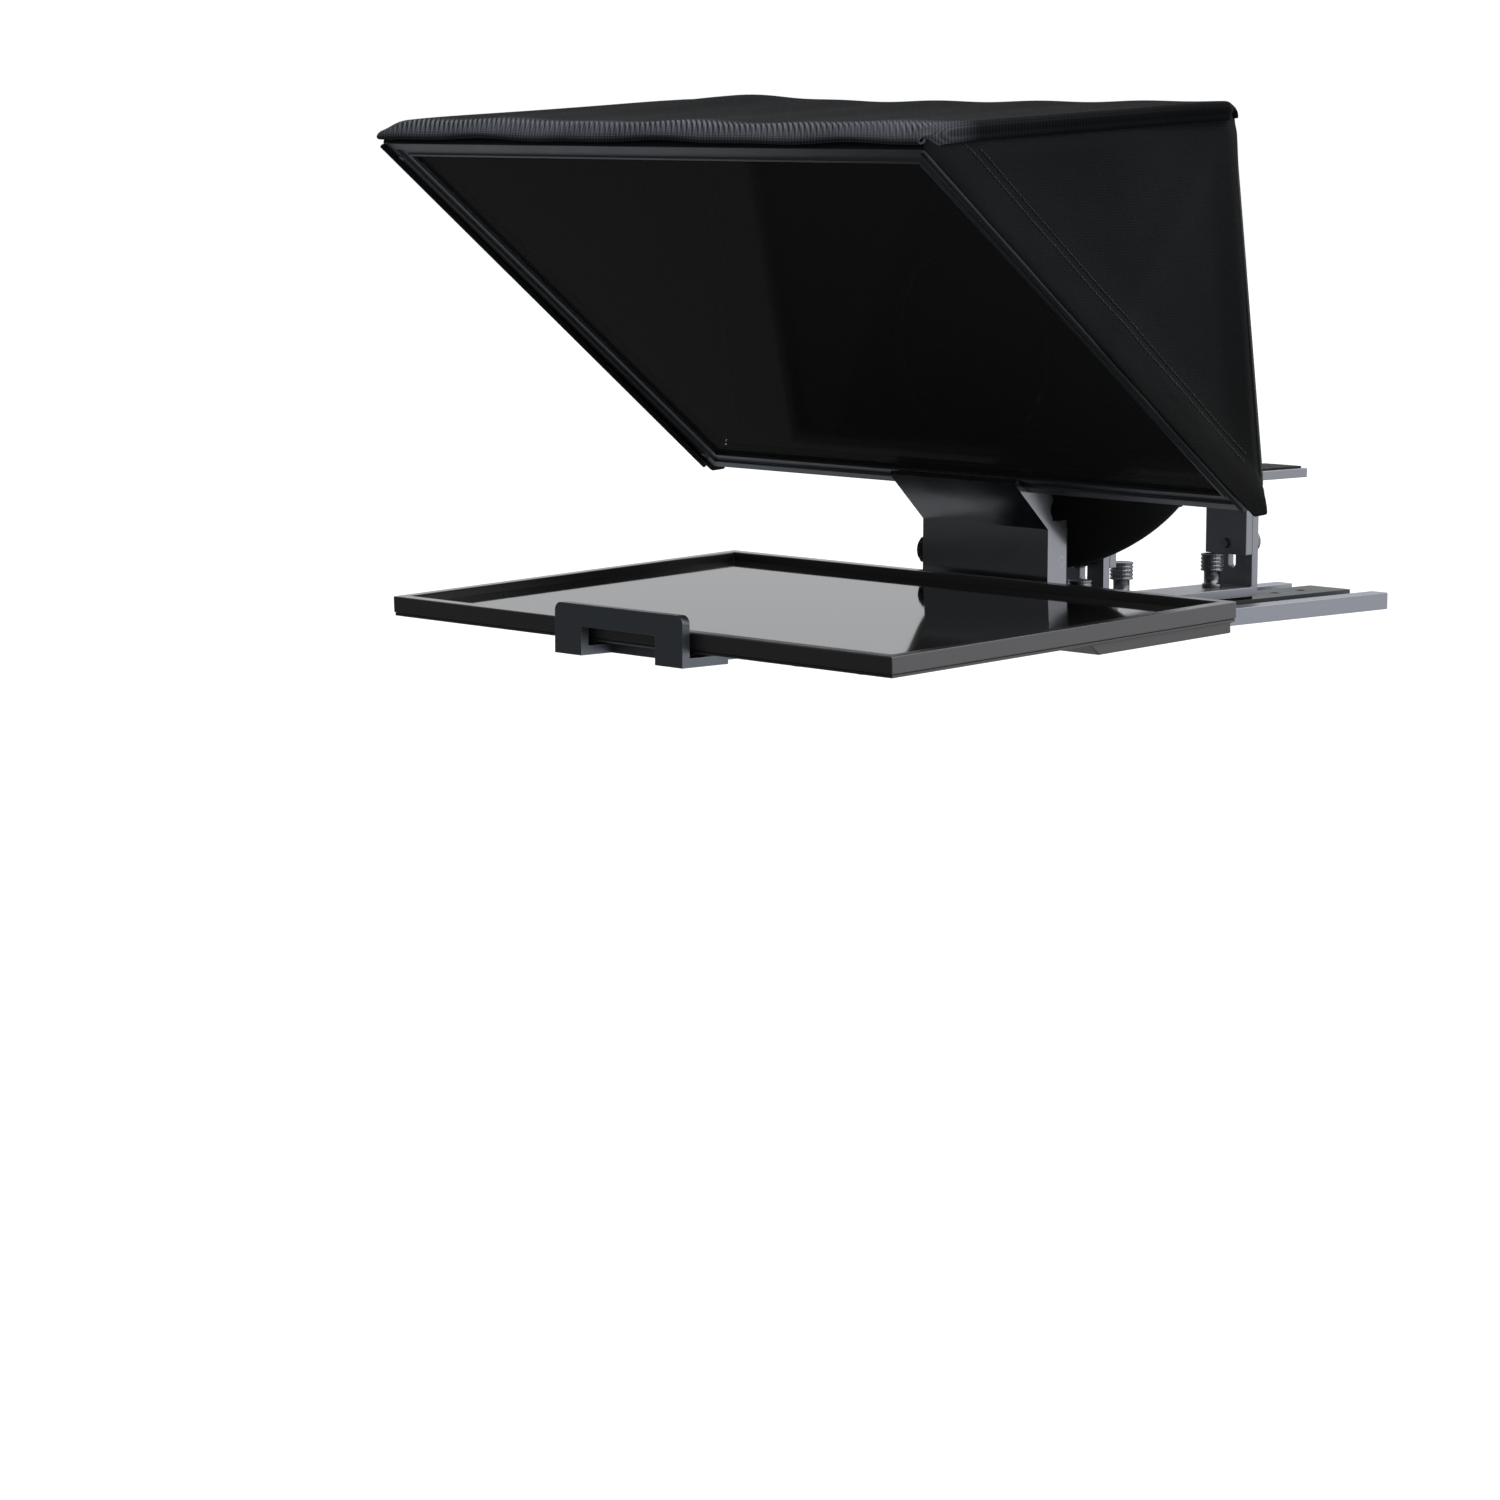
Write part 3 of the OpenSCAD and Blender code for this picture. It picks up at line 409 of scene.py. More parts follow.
inlet = moulded("inlet_plastic", (0.012, 0.012, 0.013), rough=0.4)
knob = moulded("knob_plastic", (0.012, 0.012, 0.014), rough=0.45)
pad_rubber = rubber("rubber", (0.012, 0.012, 0.013))
screen = display("display_front")
splitter = coated_glass("splitter_glass")
board = circuit("circuit_board")
# Painted light and shade of the hood cloth: lighter on the brow, darker towards the rear of the top and towards
# the bottom of the sides.
BROW_PAINTED_LIGHT = ("Y", -0.400, -0.372, 1.0, 0.10)
TOP_PAINTED_SHADE = ("Y", -0.36, -0.20, 1.0, 0.3)
SIDE_PAINTED_SHADE = ("Z", 0.12, 0.27, 0.1, 1.0)
# The top and side cloths are one fabric given two colours: a much lighter copy on the top, painted light, and a
# darker copy on the sides, painted shade.
cloth_top_painted_light = woven("hood_cloth_top_painted_light", (0.076, 0.082, 0.094), "X", "Y", thread=0.95 * MM, deep=0.04,
                  sheen=0.0, gloss=0.034, painted_light_ramps=(BROW_PAINTED_LIGHT, TOP_PAINTED_SHADE), rib_highlights=True)
cloth_side_painted_shade = woven("hood_cloth_side_painted_shade", (0.0056, 0.0072, 0.0082), "Y", "Z", pale=1.9, deep=0.2,
                   sheen=0.02, gloss=0.12, painted_light_ramps=(SIDE_PAINTED_SHADE,))
# The side cloth's inner face: the same fabric in a lighter colour, painted light falling in through the glass.
cloth_lining_painted_light = woven("hood_lining_painted_light", (0.030, 0.030, 0.031), "Y", "Z", pale=1.5, sheen=0.05)
# The rear cloth and lens sleeve: the same fabric in a darker colour, painted shade inside the hood.
cloth_rear_painted_shade = woven("hood_cloth_rear_painted_shade", (0.0060, 0.0062, 0.0070), "X", "Z", sheen=0.05)
cloth_pocket = woven("hoop_pocket", (0.0035, 0.0035, 0.0040), "Y", "Z", thread=0.5 * MM, pale=1.5, sheen=0.0)
cloth_tape = woven("binding_tape", (0.010, 0.011, 0.012), "X", "Z", thread=0.5 * MM)
thread_black = woven("sewing_thread", (0.030, 0.031, 0.035), "X", "Z", thread=0.25 * MM, sheen=0.5)

SLOT_LOOKS = {
    "anodised_slate": slate, "anodised_edge": rail_grey, "black_metal": post_coat, "knurled_steel": nickel,
    "screw_steel": zinc, "monitor_shell": shell, "bezel_plastic": bezel, "screen_glass": screen,
    "circuit_green": board, "rubber_black": pad_rubber, "knob_plastic": knob, "splitter_glass": splitter,
    "hood_cloth": cloth_rear_painted_shade,
}
NODE_LOOKS = {
    "riser_foot_front": strap_coat, "riser_foot_rear": strap_coat, "riser_bridge": strap_coat,
    "camera_plate": strap_coat, "front_clamp": slate_clamp, "pivot_pin": bracket_coat,
    "power_inlet": inlet, "power_button": inlet, "glass_bracket": bracket_coat,
    "frame_rail_bottom": slate_frame, "frame_rail_top": slate_frame, "frame_rail_left": slate_frame,
    "frame_rail_right": slate_frame, "lens_hem": cloth_tape,
}
# Edge rounding of the hard parts, in millimetres.
EDGE = {
    "front_clamp": 1.3, "glass_bracket": 0.5, "glass_post": 0.5, "monitor_bezel": 0.9, "monitor_back": 0.8,
    "base_channel": 0.5, "centre_bar": 0.5, "monitor_wedge": 0.5, "vesa_plate": 0.4,
    "riser_bridge": 0.6, "riser_foot_front": 0.6, "riser_foot_rear": 0.6, "camera_plate": 0.6,
    "camera_pad": 0.3, "frame_rail_bottom": 0.3, "frame_rail_top": 0.3, "frame_rail_left": 0.3,
    "frame_rail_right": 0.3, "riser_pads": 0.3, "clamp_pads": 0.4,
}
EDGE_SEGMENTS = 3
EDGE_ANGLE = math.radians(40)
WELD_GAP = 0.002 * MM


def wear(obj, material):
    """Gives an object the one material."""
    obj.data.materials.clear()
    obj.data.materials.append(material)


def dress_nodes():
    """Gives every CAD node its material, and the hard ones a small rounded edge."""
    slots = {part["node"]: part["material_slot"] for part in frame["record"]["subparts"]}
    for name, obj in nodes.items():
        wear(obj, NODE_LOOKS.get(name, SLOT_LOOKS[slots[name]]))
        if name in EDGE:
            weld = obj.modifiers.new("weld", "WELD")
            weld.merge_threshold = WELD_GAP
            edge = obj.modifiers.new("edge", "BEVEL")
            edge.width = EDGE[name] * MM
            edge.segments = EDGE_SEGMENTS
            edge.limit_method = "ANGLE"
            edge.angle_limit = EDGE_ANGLE
            edge.harden_normals = False
            edge.use_clamp_overlap = True


dress_nodes()


# ---------- hood ----------
CLOTH = 1.2 * MM
# The side cloth's corners in its own plane: chin and brow on the frame, heel and crown on the hoop.
side_chin = Vector((0, -0.1425, 0.0925))
side_brow = Vector((0, -0.4150, 0.3050))
side_heel = Vector((0, -0.1262, 0.0935))
side_crown = Vector((0, -0.1560, 0.3250))
CREASE_FROM = Vector((0, -0.172, 0.312))
CREASE_TO = Vector((0, -0.262, 0.196))
PULL_TO = Vector((0, -0.335, 0.262))
HEM = 25 * MM
SIDE_INSET = 0.4 * MM


def soft_fold(obj):
    """Gives a hood piece its own copy of its mesh."""
    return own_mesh(obj)


def from_line(p, a, b):
    """Distance of p from the line a to b, and how far along it p lies, from 0 to 1."""
    along = b - a
    share = (p - a).dot(along) / along.length_squared
    return (p - a - along * share).length, share


def top_height(x, back):
    """Sag, slack and small waves of the top cloth; back is 0 at its front edge and 1 at its rear."""
    across = x / hood_half
    sag = -2.6 * MM * (1 - across ** 2) * math.sin(math.pi * min(1, max(0, back))) ** 0.8
    slack = 0.8 * MM * math.sin(9.5 * across + 1.1) * (1 - back)
    slack += 0.5 * MM * math.sin(17 * across + 2 * back)
    hump = 3.4 * MM * bump(across + 0.70, 0.20) * smoothstep(0.45, 0.95, back)
    return sag + slack * (1 - abs(across) ** 6) + hump


# The top cloth's line, from under the lip over the brow to the hoop: (y, z) in mm.
TOP_PROFILE = [
    (-411.6, 309.0), (-415.4, 308.6), (-417.2, 310.0), (-413.4, 313.4), (-403.2, 317.7), (-387.0, 319.6),
    (-356.0, 321.6), (-316.0, 323.7), (-277.0, 325.8), (-238.0, 327.9), (-200.0, 330.0), (-176.5, 331.1),
    (-164.5, 331.4), (-158.0, 329.8), (-154.8, 326.4), (-154.0, 322.4),
]
# The side cloth's upper edge runs this far under that line, in mm, and past its ends to these two points.
UNDER_TOP = 2.5
SIDE_TOP_FRONT = (-415.0, 307.5)
SIDE_TOP_REAR = (-150.0, 331.0)
TOP_TURN = 4.5 * MM     # radius of the turn at the sides
TOP_FLAP = 6 * MM
TOP_CELLS = 80
FLAP_CELLS = 8


def rounded(points, steps):
    """A smooth curve through the points."""
    points = [Vector((0, y * MM, z * MM)) for y, z in points]
    points = [points[0] * 2 - points[1]] + points + [points[-1] * 2 - points[-2]]
    curve = []
    for a, b, c, d in zip(points, points[1:], points[2:], points[3:]):
        bend, twist = 2 * a - 5 * b + 4 * c - d, 3 * b - a - 3 * c + d
        for k in range(steps):
            t = k / steps
            curve.append(0.5 * (2 * b + (c - a) * t + bend * t ** 2 + twist * t ** 3))
    return curve + [points[-2]]


def hood_top():
    """The top cloth: turned under at the lip, and turned down over the hoop and at both sides."""
    profile = rounded(TOP_PROFILE, 5)
    count = len(profile)
    wide = hood_half + 0.8 * MM - TOP_TURN
    quarter = TOP_TURN * math.pi / 2
    reach = quarter + TOP_FLAP
    across = [-wide - reach * k / FLAP_CELLS for k in range(FLAP_CELLS, 0, -1)]
    across += [-wide + 2 * wide * k / TOP_CELLS for k in range(TOP_CELLS + 1)]
    across += [wide + reach * k / FLAP_CELLS for k in range(1, FLAP_CELLS + 1)]
    rows = []
    for i, p in enumerate(profile):
        along = (profile[min(i + 1, count - 1)] - profile[max(i - 1, 0)]).normalized()
        normal = Vector((0, -along.z, along.y))
        back = (p.y - profile[0].y) / (profile[-1].y - profile[0].y)
        flat = smoothstep(0.0, 0.09, back) * smoothstep(1.0, 0.97, back)
        lip = 1 - smoothstep(0.0, 0.07, back)
        row = []
        for x in across:
            sign = 1 if x > 0 else -1
            edge = min(wide, max(-wide, x))
            over = abs(x - edge)
            turn = min(math.pi / 2, over / TOP_TURN)
            out = TOP_TURN * math.sin(turn) * sign
            drop = TOP_TURN * (1 - math.cos(turn)) + max(0, over - quarter)
            drop *= smoothstep(-0.015, 0.02, back) * smoothstep(1.03, 0.955, back)
            inward = 1.2 * MM * smoothstep(quarter, reach, over) * -sign
            lift = top_height(edge, back) * flat * (1 - turn / (math.pi / 2))
            wave = 0.7 * MM * math.sin(edge * 38 + 0.7) * lip + 0.4 * MM * math.sin(edge * 81) * lip
            q = p + normal * (lift - drop) + Vector((0, 0.2, 1)) * wave
            narrow = 1 - 5.5 * MM / hood_half * smoothstep(0.94, 0.99, back) - 2 * MM / hood_half * lip
            row.append(Vector(((edge + out + inward) * narrow, q.y, q.z)))
        rows.append(row)
    obj = thicken(grid_object("hood_top_cloth", rows), CLOTH)
    wear(obj, cloth_top_painted_light)
    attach(obj, "glass")
    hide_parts("hood_top")
    return soft_fold(obj)


def side_depth(p):
    """How far the side cloth lies outside the frame's flank at a point of its plane."""
    from_frame, _ = from_line(p, side_chin, side_brow)
    from_hoop, up = from_line(p, side_heel, side_crown)
    free = smoothstep(0, 45 * MM, from_frame) * smoothstep(0, 30 * MM, from_hoop)
    tuck = 3.0 * MM * smoothstep(110 * MM, 0, from_hoop) + 1.9 * MM * smoothstep(9 * MM, 0, from_hoop)
    depth = -tuck * smoothstep(11 * MM, 30 * MM, from_frame)
    depth -= 3.6 * MM * free * math.sin(math.pi * min(1, max(0, up))) ** 0.7
    depth -= 1.5 * MM * smoothstep(15 * MM, 8 * MM, top_edge(p.y) - p.z)
    away, share = from_line(p, CREASE_FROM, CREASE_TO)
    depth += 1.0 * MM * bump(away, 11 * MM) * smoothstep(-0.1, 0.3, share) * smoothstep(1.3, 0.6, share)
    away, share = from_line(p, side_heel, PULL_TO)
    pull = 0.5 * MM * bump(away - 6 * MM, 10 * MM)
    depth += pull * smoothstep(0.1, 0.35, share) * smoothstep(1.0, 0.6, share)
    depth -= 0.35 * MM * bump(from_frame - HEM, 1.8 * MM)
    depth += 0.2 * MM * smoothstep(HEM + 1.5 * MM, HEM - 1.5 * MM, from_frame)
    ripple = math.sin(from_frame / (7 * MM) + 3 * up) * math.sin(up * 31)
    depth += 0.2 * MM * ripple * smoothstep(HEM * 2.2, HEM * 0.6, from_frame)
    return depth


def top_edge(y):
    """Height of the side cloth's upper edge, just under the top cloth."""
    points = [SIDE_TOP_FRONT] + TOP_PROFILE[3:13] + [SIDE_TOP_REAR]
    for (y0, z0), (y1, z1) in zip(points, points[1:]):
        if y <= y1 * MM:
            break
    return (z0 + (z1 - z0) * (y / MM - y0) / (y1 - y0) - UNDER_TOP) * MM


def side_point(u, v):
    """A point of the side cloth's plane: u from the frame to the hoop, v from the chin to the top."""
    front = side_chin.lerp(side_brow, v)
    rear = side_heel.lerp(side_crown, v)
    rear = rear + Vector((0, -3.5 * MM * math.sin(math.pi * v), 0))
    p = front.lerp(rear, u)
    top = side_brow.lerp(side_crown, u)
    p += Vector((0, 0, (top_edge(top.y) - top.z) * v ** 6))
    corner = 5 * MM * ((1 - v) * u) ** 14 - 3 * MM * ((1 - v) * (1 - u)) ** 14
    return p + Vector((0, -corner, abs(corner) * 0.6))


def on_side(sign, p, out):
    """The place beside p on the bulging side cloth, moved outwards by out."""
    return Vector((sign * (hood_half - SIDE_INSET + side_depth(p) + out), p.y, p.z))


SIDE_ROWS = 72
SIDE_COLUMNS = 60


def hood_side(name, node, sign):
    """A side cloth between the frame's flank, the hoop's leg and the top cloth's edge."""
    rows = []
    for i in range(SIDE_ROWS + 1):
        row = []
        for j in range(SIDE_COLUMNS + 1):
            u = j / SIDE_COLUMNS
            curl = 0.8 * MM * smoothstep(0.02, 0, u)
            row.append(on_side(sign, side_point(u, i / SIDE_ROWS), -curl))
        rows.append(row if sign > 0 else row[::-1])
    obj = thicken(grid_object(name, rows), CLOTH)
    wear(obj, cloth_side_painted_shade)
    # The inward faces take the lighter lining colour: painted light inside the hood.
    obj.data.materials.append(cloth_lining_painted_light)
    for face in obj.data.polygons:
        face.material_index = 1 if face.normal.x * sign < 0 else 0
    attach(obj, "glass")
    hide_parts(node)
    edge = [side_point(0, 0), side_point(0, 1), side_point(1, 1), side_point(1, 0)]
    return soft_fold(obj)


STITCH = 2.6 * MM
STITCH_PITCH = 3.6 * MM
STITCH_R = 0.24 * MM
# The line of one stitch: (share of its length, height over the cloth).
STITCH_LINE = ((-0.5, -0.15 * MM), (-0.32, 0.3 * MM), (0.32, 0.3 * MM), (0.5, -0.15 * MM))


def stitch_row(path, outward):
    """Raised stitches along a path, each a short bar lying on the cloth."""
    bars = []
    target, run = STITCH_PITCH / 2, 0.0
    for a, b in zip(path, path[1:]):
        span = (b - a).length
        way = (b - a).normalized()
        while target < run + span:
            p = a.lerp(b, (target - run) / span)
            ends = [p + way * STITCH * share + outward * height for share, height in STITCH_LINE]
            bars.append(tube("bar", ends, STITCH_R, sides=5))
            target += STITCH_PITCH
        run += span
    return bars


def side_seams(sign, word):
    """The two rows of stitching along the side cloth's hem on the frame."""
    along = (side_brow - side_chin).normalized()
    in_way = side_crown - side_brow
    inward = (in_way - along * in_way.dot(along)).normalized()
    hem = [side_chin.lerp(side_brow, 0.07 + 0.89 * k / 60) + inward * (HEM - 2.5 * MM) for k in range(61)]
    parts = []
    for line in (hem, [p + inward * 5 * MM for p in hem[:-4]]):
        parts += stitch_row([on_side(sign, p, CLOTH / 2) for p in line], Vector((sign, 0, 0)))
    obj = joined("hood_stitching_" + word, parts)
    wear(obj, thread_black)
    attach(obj, "glass")
    return soft_fold(obj)


POCKET_LOW = Vector((0, -0.1720, 0.1235))
POCKET_HIGH = Vector((0, -0.2090, 0.3200))
POCKET_ROWS = 40
POCKET_COLUMNS = 12


def hoop_pocket(sign, word):
    """The pocket inside a side cloth that the hoop's leg runs through."""
    rows = []
    for i in range(POCKET_ROWS + 1):
        v = i / POCKET_ROWS
        front = POCKET_LOW.lerp(POCKET_HIGH, v)
        rear = side_heel.lerp(side_crown, 0.08 + 0.89 * v)
        row = []
        for j in range(POCKET_COLUMNS + 1):
            gap = 1.3 * MM + 1.2 * MM * math.sin(math.pi * j / POCKET_COLUMNS)
            row.append(on_side(sign, front.lerp(rear, j / POCKET_COLUMNS), -gap))
        rows.append(row if sign > 0 else row[::-1])
    obj = thicken(grid_object("hood_pocket_" + word, rows), 0.8 * MM)
    wear(obj, cloth_pocket)
    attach(obj, "glass")
    return soft_fold(obj)


def frame_binding(sign, word):
    """A rolled binding where the side cloth meets the frame's flank."""
    points = [side_chin.lerp(side_brow, 0.02 + 0.975 * k / 90) for k in range(91)]
    line = [Vector((sign * (hood_half - 1.6 * MM), p.y, p.z)) - slope_out * 0.2 * MM for p in points]
    obj = tube("hood_binding_" + word, line, 1.5 * MM, sides=10)
    wear(obj, cloth_tape)
    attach(obj, "glass")
    return soft_fold(obj)


REAR_Y = 5.0 * MM        # the rear cloth's distance behind the hoop's centre line
HOOP_CORNER = 14 * MM
CORNER_CELLS = 8
HEM_LOW = -2.5 * MM
WRAP_ANGLE = math.radians(112)
WRAP_CELLS = 6
REAR_RINGS = 18


def hoop_corner(middle, start):
    """Points round an upper corner of the hoop, over the quarter turn from start."""
    corner = []
    for k in range(CORNER_CELLS):
        a = start + math.pi / 2 * k / CORNER_CELLS
        way = (math.cos(a), math.sin(a))
        at = (middle + HOOP_CORNER * way[0], hoop_len - HOOP_CORNER + HOOP_CORNER * way[1])
        corner.append((at, way, 1.0))
    return corner


def hoop_outline(count):
    """Points round the hoop's centre line and along the open lower edge.

    Each is ((across, up), (outward way), share of the wrap round the tube).
    """
    rise = hoop_len - HOOP_CORNER - HEM_LOW
    flat = hoop_half - HOOP_CORNER
    shares = [k / count for k in range(count)]
    half_shares = [k / count for k in range(2 * count)]
    pieces = [((hoop_half, HEM_LOW + rise * t), (1, 0), 1.0) for t in shares]
    pieces += hoop_corner(flat, 0)
    pieces += [((flat - flat * t, hoop_len), (0, 1), 1.0) for t in half_shares]
    pieces += hoop_corner(-flat, math.pi / 2)
    pieces += [((-hoop_half, hoop_len - HOOP_CORNER - rise * t), (-1, 0), 1.0) for t in shares]
    pieces += [((-hoop_half + hoop_half * t, HEM_LOW), (0, -1), 0.25) for t in half_shares]
    return pieces


def rear_cloth():
    """The rear panel with its lens opening, wrapped round the hoop's tube."""
    low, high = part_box("lens_hem")
    centre = ((low + high) / 2 - hinge).dot(hoop_up)
    hole = (high.x - low.x) / 2 - 6.5 * MM
    outline = hoop_outline(16)
    rows = []
    for i in range(REAR_RINGS + 1):
        share = i / REAR_RINGS
        swell = math.sin(math.pi * share)
        row = []
        for (x, up), _, _ in outline:
            turn = math.atan2(up - centre, x)
            inner = Vector((hole * math.cos(turn), centre + hole * math.sin(turn)))
            p = inner.lerp(Vector((x, up)), share)
            far = (p - Vector((0, centre))).length
            pucker = 0.5 * MM * math.sin(turn * 18) * bump(far - hole, 16 * MM)
            fold = 0.9 * MM * math.sin(turn * 5 + 0.6) * swell
            row.append(in_hoop(p.x, REAR_Y + pucker + fold - 1.3 * MM * swell, p.y))
        rows.append(row)
    for k in range(1, WRAP_CELLS + 1):
        turn = WRAP_ANGLE * k / WRAP_CELLS
        row = []
        for (x, up), way, size in outline:
            r = REAR_Y * size
            out = r * math.sin(turn)
            row.append(in_hoop(x + way[0] * out, REAR_Y - r * (1 - math.cos(turn)), up + way[1] * out))
        rows.append(row)
    obj = thicken(grid_object("hood_rear_cloth", rows, ring=True), CLOTH)
    wear(obj, cloth_rear_painted_shade)
    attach(obj, "hoop")
    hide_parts("rear_panel")
    return obj


def hoop_piping():
    """The piped seam between the side cloths, the top cloth and the rear cloth."""
    reach = REAR_Y + 0.5 * MM
    line = [in_hoop(x + way[0] * reach, -0.5 * MM, up + way[1] * reach)
            for (x, up), way, size in hoop_outline(24) if size == 1.0]
    obj = tube("hood_piping", line, 1.1 * MM, sides=8)
    wear(obj, cloth_tape)
    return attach(obj, "hoop")


# The lens sleeve's ovals as (half width, half height): at the rear panel, at its fullest, and its opening.
SLEEVE_FRONT = (127.4 * MM, 83.4 * MM)
SLEEVE_FRONT_UP = 85 * MM
SLEEVE_BACK = (127.4 * MM, 85.4 * MM)
SLEEVE_BACK_AT = Vector((0, -0.0580, 0.1200))
SLEEVE_LEAN = math.radians(-22)
SLEEVE_END = (39.2 * MM, 71.2 * MM)
SLEEVE_END_OFF = (11.5 * MM, 10 * MM)
SLEEVE_FULL = 0.56      # the share of the sleeve's length at which it is fullest
SLEEVE_TURNS = 208
SLEEVE_STEPS = 30


def sleeve_point(turn, share):
    """A point of the lens sleeve: turn round it, share from the rear panel to its gathered opening."""
    c, s = math.cos(turn), math.sin(turn)
    hoop_side = in_hoop(SLEEVE_FRONT[0] * c, REAR_Y + 1.6 * MM, SLEEVE_FRONT_UP + SLEEVE_FRONT[1] * s)
    back = Vector((0, math.cos(SLEEVE_LEAN), math.sin(SLEEVE_LEAN)))
    up = Vector((0, -math.sin(SLEEVE_LEAN), math.cos(SLEEVE_LEAN)))
    full = SLEEVE_BACK_AT + Vector((SLEEVE_BACK[0] * c, 0, 0)) + up * SLEEVE_BACK[1] * s
    opening = SLEEVE_BACK_AT + back * SLEEVE_END_OFF[0] + up * (SLEEVE_END_OFF[1] + SLEEVE_END[1] * s)
    opening += Vector((SLEEVE_END[0] * c, 0, 0))
    if share < SLEEVE_FULL:
        near = share / SLEEVE_FULL
        p = hoop_side.lerp(full, near)
        fold = 1.1 * MM * math.sin(9 * turn + 1.3 + 1.4 * near) + 0.7 * MM * math.sin(14 * turn + 4 * near)
        away = Vector((c, 0, s)) * (fold * math.sin(math.pi * near) - 1.0 * MM)
        return p + away
    near = (share - SLEEVE_FULL) / (1 - SLEEVE_FULL)
    p = full.lerp(opening, near)
    belly = back * 3.0 * MM * math.sin(math.pi * near) - Vector((c, 0, s)) * 1.0 * MM * (1 - near)
    pleat = back * 1.5 * MM * math.sin(26 * turn) * smoothstep(0.15, 0.75, near)
    return p + belly + pleat + back * 0.9 * MM * math.sin(11 * turn + 0.5) * math.sin(math.pi * near)


def sleeve_ring(share):
    """A ring of points round the lens sleeve."""
    return [sleeve_point(TURN * k / SLEEVE_TURNS, share) for k in range(SLEEVE_TURNS)]


def lens_sleeve():
    """The soft light-tight sleeve behind the lens opening, gathered round its opening by an elastic."""
    rows = [sleeve_ring(i / SLEEVE_STEPS) for i in range(SLEEVE_STEPS + 1)]
    obj = thicken(grid_object("lens_sleeve_cloth", rows, ring=True), CLOTH)
    wear(obj, cloth_rear_painted_shade)
    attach(obj, "hoop")
    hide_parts("lens_sleeve")
    elastic = tube("lens_sleeve_elastic", sleeve_ring(0.99), 1.9 * MM, sides=8, closed=True)
    welt = tube("lens_sleeve_welt", sleeve_ring(0.0), 1.4 * MM, sides=8, closed=True)
    for piece in (elastic, welt):
        wear(piece, cloth_tape)
        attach(piece, "hoop")


hood_top()
for sign, word in ((-1, "left"), (1, "right")):
    hood_side("hood_side_cloth_" + word, "hood_side_" + word, sign)
    side_seams(sign, word)
    frame_binding(sign, word)
    hoop_pocket(sign, word)
rear_cloth()
hoop_piping()
lens_sleeve()


# ---------- knurled hardware ----------
NUT_R = 7.5 * MM
NUT_RINGS = 5
NUT_TEETH = 26
POINTS_PER_TOOTH = 4


def turned(name, rings, teeth, place):
    """An upright turned part from (radius, height, knurl depth) rings, standing at place."""
    count = teeth * POINTS_PER_TOOTH
    verts, faces = [], []
    for radius, height, depth in rings:
        for k in range(count):
            a = TURN * k / count
            r = radius - depth * (0.5 - 0.5 * math.cos(teeth * a))
            verts.append(Vector((r * math.cos(a), r * math.sin(a), height)))
    for i in range(len(rings) - 1):
        for k in range(count):
            m = (k + 1) % count
            faces.append((i * count + k, i * count + m, (i + 1) * count + m, (i + 1) * count + k))
    faces.append(tuple(range(count))[::-1])
    faces.append(tuple((len(rings) - 1) * count + k for k in range(count)))
    obj = mesh_object(name, verts, faces)
    obj.data.transform(Matrix.Translation(place))
    for polygon in obj.data.polygons:
        polygon.use_smooth = len(polygon.vertices) == 4
    return obj


def nut_rings():
    """Profile of a ringed thumb nut: collar, neck and a head of knurled rings."""
    r, soft = NUT_R, 0.25 * MM
    collar, neck, top = 2.5 * MM, 11 * MM, 22 * MM
    pitch = (top - neck) / (2 * NUT_RINGS - 1)
    rings = [(r - 1.3 * MM, 0, 0), (r - 1 * MM, soft, 0), (r - 1 * MM, collar - soft, 0),
             (r - 1.3 * MM, collar, 0), (r - 2.2 * MM, collar, 0), (r - 2.2 * MM, neck, 0)]
    for k in range(NUT_RINGS):
        low = neck + 2 * k * pitch
        high = low + pitch
        rings += [(r - 0.5 * MM, low, 0), (r - 0.1 * MM, low + 0.15 * MM, 0), (r, low + 0.3 * MM, 0.35 * MM),
                  (r, high - 0.3 * MM, 0.35 * MM), (r - 0.1 * MM, high - 0.15 * MM, 0),
                  (r - 0.5 * MM, high, 0)]
    return rings + [(r - 1.6 * MM, top, 0), (r - 1.9 * MM, top - 0.3 * MM, 0), (0.6 * MM, top - 0.3 * MM, 0)]


for name in ("post_nut_left", "post_nut_right", "riser_nut_front", "riser_nut_rear"):
    low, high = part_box(name)
    middle = (low + high) / 2
    nut = turned(name + "_knurled", nut_rings(), NUT_TEETH, Vector((middle.x, middle.y, low.z)))
    wear(nut, nickel)
    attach(nut, name)
    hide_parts(name)


# ---------- stage ----------
FLOOR_Z = -1.15


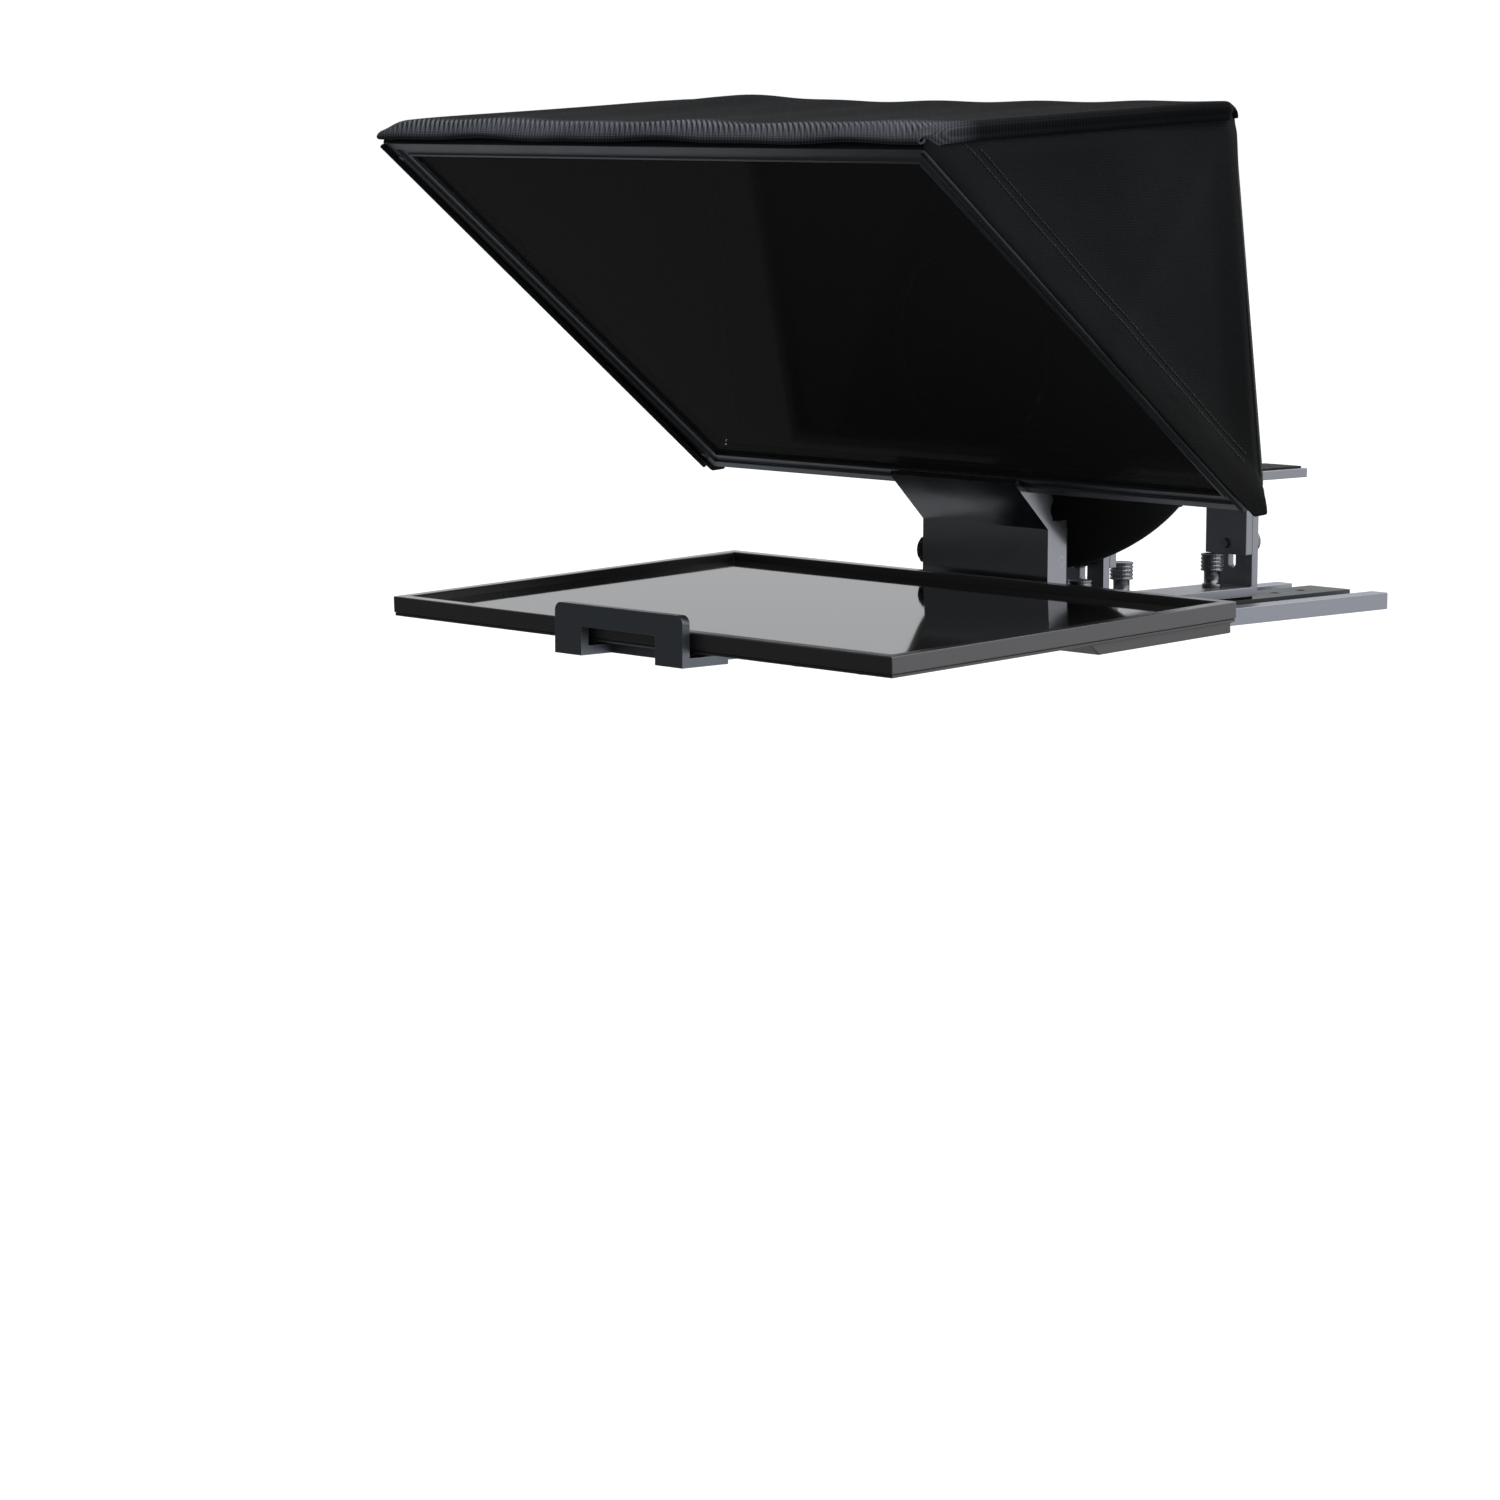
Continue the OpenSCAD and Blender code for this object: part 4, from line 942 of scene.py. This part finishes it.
def build_stage():
    """A pale floor at tripod height, a soft overhead light and a studio that is bright behind the part."""
    size = 30
    corners = [(-size, -size, FLOOR_Z), (size, -size, FLOOR_Z), (size, size, FLOOR_Z), (-size, size, FLOOR_Z)]
    floor = mesh_object("studio_floor", corners, [(0, 1, 2, 3)])
    s = Shader("studio_floor", (0.92, 0.92, 0.92), 0.9, Emission_Color=(1, 1, 1, 1), Emission_Strength=0.25)
    wear(floor, s.material)
    floor.visible_glossy = False
    floor.visible_diffuse = False

    sun = bpy.data.lights.new("overhead", "SUN")
    sun.energy = 1.7
    sun.angle = math.radians(70)
    obj = bpy.data.objects.new("overhead", sun)
    obj.rotation_euler = Vector((0.35, 0.25, 1.0)).to_track_quat("Z", "Y").to_euler()
    bpy.context.scene.collection.objects.link(obj)

    world = bpy.data.worlds.new("studio")
    bpy.context.scene.world = world
    world.use_nodes = True
    tree = world.node_tree
    tree.nodes.clear()

    def node(kind, **settings):
        made = tree.nodes.new(kind)
        for key, value in settings.items():
            setattr(made, key, value)
        return made

    way = node("ShaderNodeSeparateXYZ")
    tree.links.new(node("ShaderNodeTexCoord").outputs["Generated"], way.inputs[0])

    def ramp(source, low, high, to_low, to_high):
        made = node("ShaderNodeMapRange", interpolation_type="SMOOTHSTEP")
        tree.links.new(source, made.inputs["Value"])
        for key, value in (("From Min", low), ("From Max", high), ("To Min", to_low), ("To Max", to_high)):
            made.inputs[key].default_value = value
        return made.outputs[0]

    # The studio's light falls off in front of the part, under it and to its left.
    level = ramp(way.outputs["Y"], -0.45, 0.5, 0.12, 1.0)
    from_below = ramp(way.outputs["Z"], -0.75, -0.25, 0.40, 1.0)
    from_left = ramp(way.outputs["X"], -0.9, 0.2, 0.78, 1.0)
    for share in (from_below, from_left):
        product = node("ShaderNodeMath", operation="MULTIPLY")
        tree.links.new(level, product.inputs[0])
        tree.links.new(share, product.inputs[1])
        level = product.outputs[0]
    studio = node("ShaderNodeBackground")
    tree.links.new(level, studio.inputs["Strength"])
    studio.inputs["Color"].default_value = (0.97, 0.985, 1.0, 1)
    white = node("ShaderNodeBackground")
    mix = node("ShaderNodeMixShader")
    tree.links.new(node("ShaderNodeLightPath").outputs["Is Camera Ray"], mix.inputs[0])
    tree.links.new(studio.outputs[0], mix.inputs[1])
    tree.links.new(white.outputs[0], mix.inputs[2])
    white.inputs["Color"].default_value = (1, 1, 1, 1)
    tree.links.new(mix.outputs[0], node("ShaderNodeOutputWorld").inputs["Surface"])


CAMERA_AT = Vector((2.0366, -2.2290, 0.3285))
CAMERA_AZIMUTH = math.radians(46.897)
CAMERA_ELEVATION = math.radians(7.741)
CAMERA_ROLL = math.radians(0.171)
CAMERA_LENS = 113.77


def build_camera():
    """The photo's camera, found from the part's own straight edges."""
    camera = bpy.data.cameras.new("camera")
    camera.lens = CAMERA_LENS
    camera.sensor_width = 36
    camera.clip_start = 0.05
    camera.clip_end = 200
    obj = bpy.data.objects.new("camera", camera)
    back = Vector((math.sin(CAMERA_AZIMUTH), -math.cos(CAMERA_AZIMUTH), 0)) * math.cos(CAMERA_ELEVATION)
    back += UP * math.sin(CAMERA_ELEVATION)
    right = UP.cross(back).normalized()
    up = back.cross(right)
    turn = Matrix((right, up, back)).transposed().to_4x4()
    obj.matrix_world = Matrix.Translation(CAMERA_AT) @ turn @ Matrix.Rotation(CAMERA_ROLL, 4, "Z")
    bpy.context.scene.collection.objects.link(obj)
    bpy.context.scene.camera = obj
    view = bpy.context.scene.view_settings
    view.view_transform = "Standard"
    view.look = "None"


build_stage()
build_camera()
